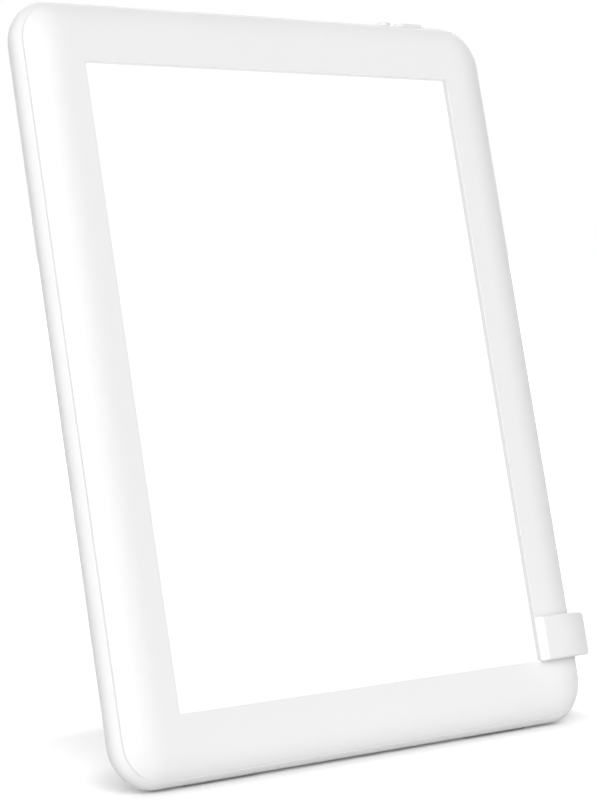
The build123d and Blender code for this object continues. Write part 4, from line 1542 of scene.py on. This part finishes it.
class Lamp(Enum):
    """The studio's soft lights: the way to each, how wide it looks in degrees, and its strength."""

    KEY = ((-0.35, -0.85, 0.4), 60.0, 2.24)
    SIDE = ((-0.95, -0.25, 0.2), 60.0, 1.15)
    BACK = ((0.58, 0.77, 0.27), 60.0, 1.1)


@dataclass(frozen=True)
class Studio:
    """Camera, floor, lights and surroundings.

    Attributes:
        panel: The leaning panel's frame.
        offset: The camera's place from the middle of the panel's front, in metres.
        azimuth: The camera's turn from looking along +Y, to the right, in degrees.
        pitch: The camera's tilt down, in degrees.
        lens: Focal length for a sensor 36 mm on the long side.
        ambient: Strength of the surroundings on the object.
        floor_half: Half the floor's side, in metres.
        floor_bounce: How much light the floor gives back to the object.
        floor_painted_white: The floor's whiteness where it is seen, beside the object and further out. The
            step up further out is painted light that whitens the lights' shadows there.
        painted_white_reach: How far from the object the first ends and the second starts, in metres.
        painted_shade_distance: How near something has to be to darken the floor with painted shade, in
            metres.
        painted_shade_white: The share of whiteness left in a crevice, where the painted shade is deepest.
    """

    panel: Panel
    offset: tuple[float, float, float] = (-0.4585, -0.5881, 0.0437)
    azimuth: float = 37.345
    pitch: float = 4.015
    lens: float = 106.31
    ambient: float = 0.15
    floor_half: float = 12.0
    floor_bounce: float = 0.7
    floor_painted_white: tuple[float, float] = (1.75, 2.75)
    painted_white_reach: tuple[float, float] = (0.0, 0.024)
    painted_shade_distance: float = 0.026
    painted_shade_white: float = 0.42

    def camera(self) -> None:
        """Makes the camera that the scene is seen through."""
        data = bpy.data.cameras.new("camera")
        data.lens = self.lens
        data.sensor_width = 36.0
        data.clip_start, data.clip_end = 0.05, 60.0
        made = bpy.data.objects.new("camera", data)
        bpy.context.scene.collection.objects.link(made)
        made.location = Vector(self.panel.middle) + Vector(self.offset)
        turn = (math.radians(90 - self.pitch), 0.0, -math.radians(self.azimuth))
        made.rotation_euler = Euler(turn)
        bpy.context.scene.camera = made

    def lights(self) -> None:
        """Makes the soft lights."""
        for lamp in Lamp:
            toward, width, strength = lamp.value
            data = bpy.data.lights.new(lamp.name.lower() + "_light", "SUN")
            data.angle = math.radians(width)
            data.energy = strength
            made = bpy.data.objects.new(data.name, data)
            bpy.context.scene.collection.objects.link(made)
            made.rotation_euler = Vector(toward).to_track_quat("Z", "Y").to_euler()
            log.info("light %s of strength %.1f", data.name, strength)

    def seen_directly(self, sketch: Sketch) -> Socket:
        """One where a camera, glossy or transmitted ray arrives, else zero.

        Args:
            sketch: The tree to add it to.

        Returns:
            The mask's socket.
        """
        path = sketch.node("ShaderNodeLightPath").outputs
        either = sketch.maths("MAXIMUM", path["Is Camera Ray"], path["Is Glossy Ray"])
        return sketch.maths("MAXIMUM", either, path["Is Transmission Ray"])

    def world(self) -> None:
        """White where it is seen, soft ambient light on the object."""
        world = bpy.data.worlds.new("studio")
        world.use_nodes = True
        bpy.context.scene.world = world
        sketch = Sketch(world.node_tree)
        strength = sketch.spread(self.seen_directly(sketch), 0.0, 1.0, self.ambient, 1.0)
        shade = sketch.node("ShaderNodeBackground", Color=(1.0, 1.0, 1.0), Strength=strength)
        sketch.node("ShaderNodeOutputWorld", Surface=shade.outputs[0])

    def footprint_distance(self, sketch: Sketch) -> Socket:
        """How far a point of the floor is from the object's footprint.

        It is the length of the point's absolute offset less half the footprint, held above zero.

        Args:
            sketch: The tree to add it to.

        Returns:
            The distance's socket.
        """
        low, high = np.array(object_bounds()) * (1.0, 1.0, 0.0)
        middle, half = tuple((low + high) / 2), tuple((high - low) / 2)
        offset = sketch.where()
        steps = (("SUBTRACT", middle), ("ABSOLUTE",), ("SUBTRACT", half), ("MAXIMUM", (0.0, 0.0, 0.0)))
        for operation, *other in steps:
            offset = sketch.maths(operation, offset, *other, kind="VectorMath")
        length = sketch.node("ShaderNodeVectorMath", {"operation": "LENGTH"})
        sketch.feed(length, 0, offset)
        return length.outputs["Value"]

    def floor(self) -> None:
        """A white floor that keeps the object's shadow, with painted shade in its crevices and painted
        light that whitens it away from the object.
        """
        half = self.floor_half
        corners = [(-half, -half, 0.0), (half, -half, 0.0), (half, half, 0.0), (-half, half, 0.0)]
        mesh = bpy.data.meshes.new("floor")
        mesh.from_pydata(corners, [], [(0, 1, 2, 3)])
        made = bpy.data.objects.new("floor", mesh)
        bpy.context.scene.collection.objects.link(made)
        made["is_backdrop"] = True
        material = bpy.data.materials.new("floor_painted_white")
        material.use_nodes = True
        mesh.materials.append(material)
        sketch = Sketch(material.node_tree)
        # painted shade: occlusion darkens the floor's colour where something is near, as in the crevice
        # under the object
        near = sketch.node("ShaderNodeAmbientOcclusion", {"samples": 8}, Distance=self.painted_shade_distance)
        painted_crevice_shade = sketch.spread(near.outputs["AO"], 0.0, 1.0, self.painted_shade_white, 1.0)
        # painted light: the floor's colour rises away from the object's footprint, whitening the lights'
        # shadows there
        painted_lift = sketch.spread(self.footprint_distance(sketch), *self.painted_white_reach, *self.floor_painted_white)
        whiteness = sketch.maths("MULTIPLY", painted_lift, painted_crevice_shade)
        colour = sketch.mix(self.seen_directly(sketch), (self.floor_bounce,) * 3, whiteness)
        matt = sketch.node("ShaderNodeBsdfDiffuse", Color=colour)
        sketch.node("ShaderNodeOutputMaterial", Surface=matt.outputs[0])

    def build(self) -> None:
        """Makes everything that isn't the lamp."""
        self.camera()
        self.floor()
        self.lights()
        self.world()
        bpy.context.scene.view_settings.view_transform = "Standard"


# ------------------------------------------------------------------ main


def main() -> None:
    """Loads the frame, builds the studio and the lamp's pieces, and dresses every node."""
    logging.basicConfig(level=logging.INFO, format="%(name)s: %(message)s")
    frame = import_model()
    panel = Panel.from_frame(frame["record"], recess=2 * MM)
    Studio(panel).build()

    case = Case(panel)
    power = Button(
        panel,
        "power_button",
        Sign.POWER,
        middle=54.6 * MM,
        length=5.4 * MM,
        width=5.4 * MM,
        flange_top=115.65 * MM,
    )
    dimmer = Button(
        panel,
        "dimmer_button",
        Sign.BRIGHTNESS,
        middle=65.4 * MM,
        length=11.8 * MM,
        width=5.0 * MM,
        flange_top=115.92 * MM,
    )
    stand = Stand(case)
    for part in (case, power, dimmer, stand, Leg(stand)):
        part.build()
    dress_nodes(frame["nodes"])


if __name__ == "__main__":
    main()
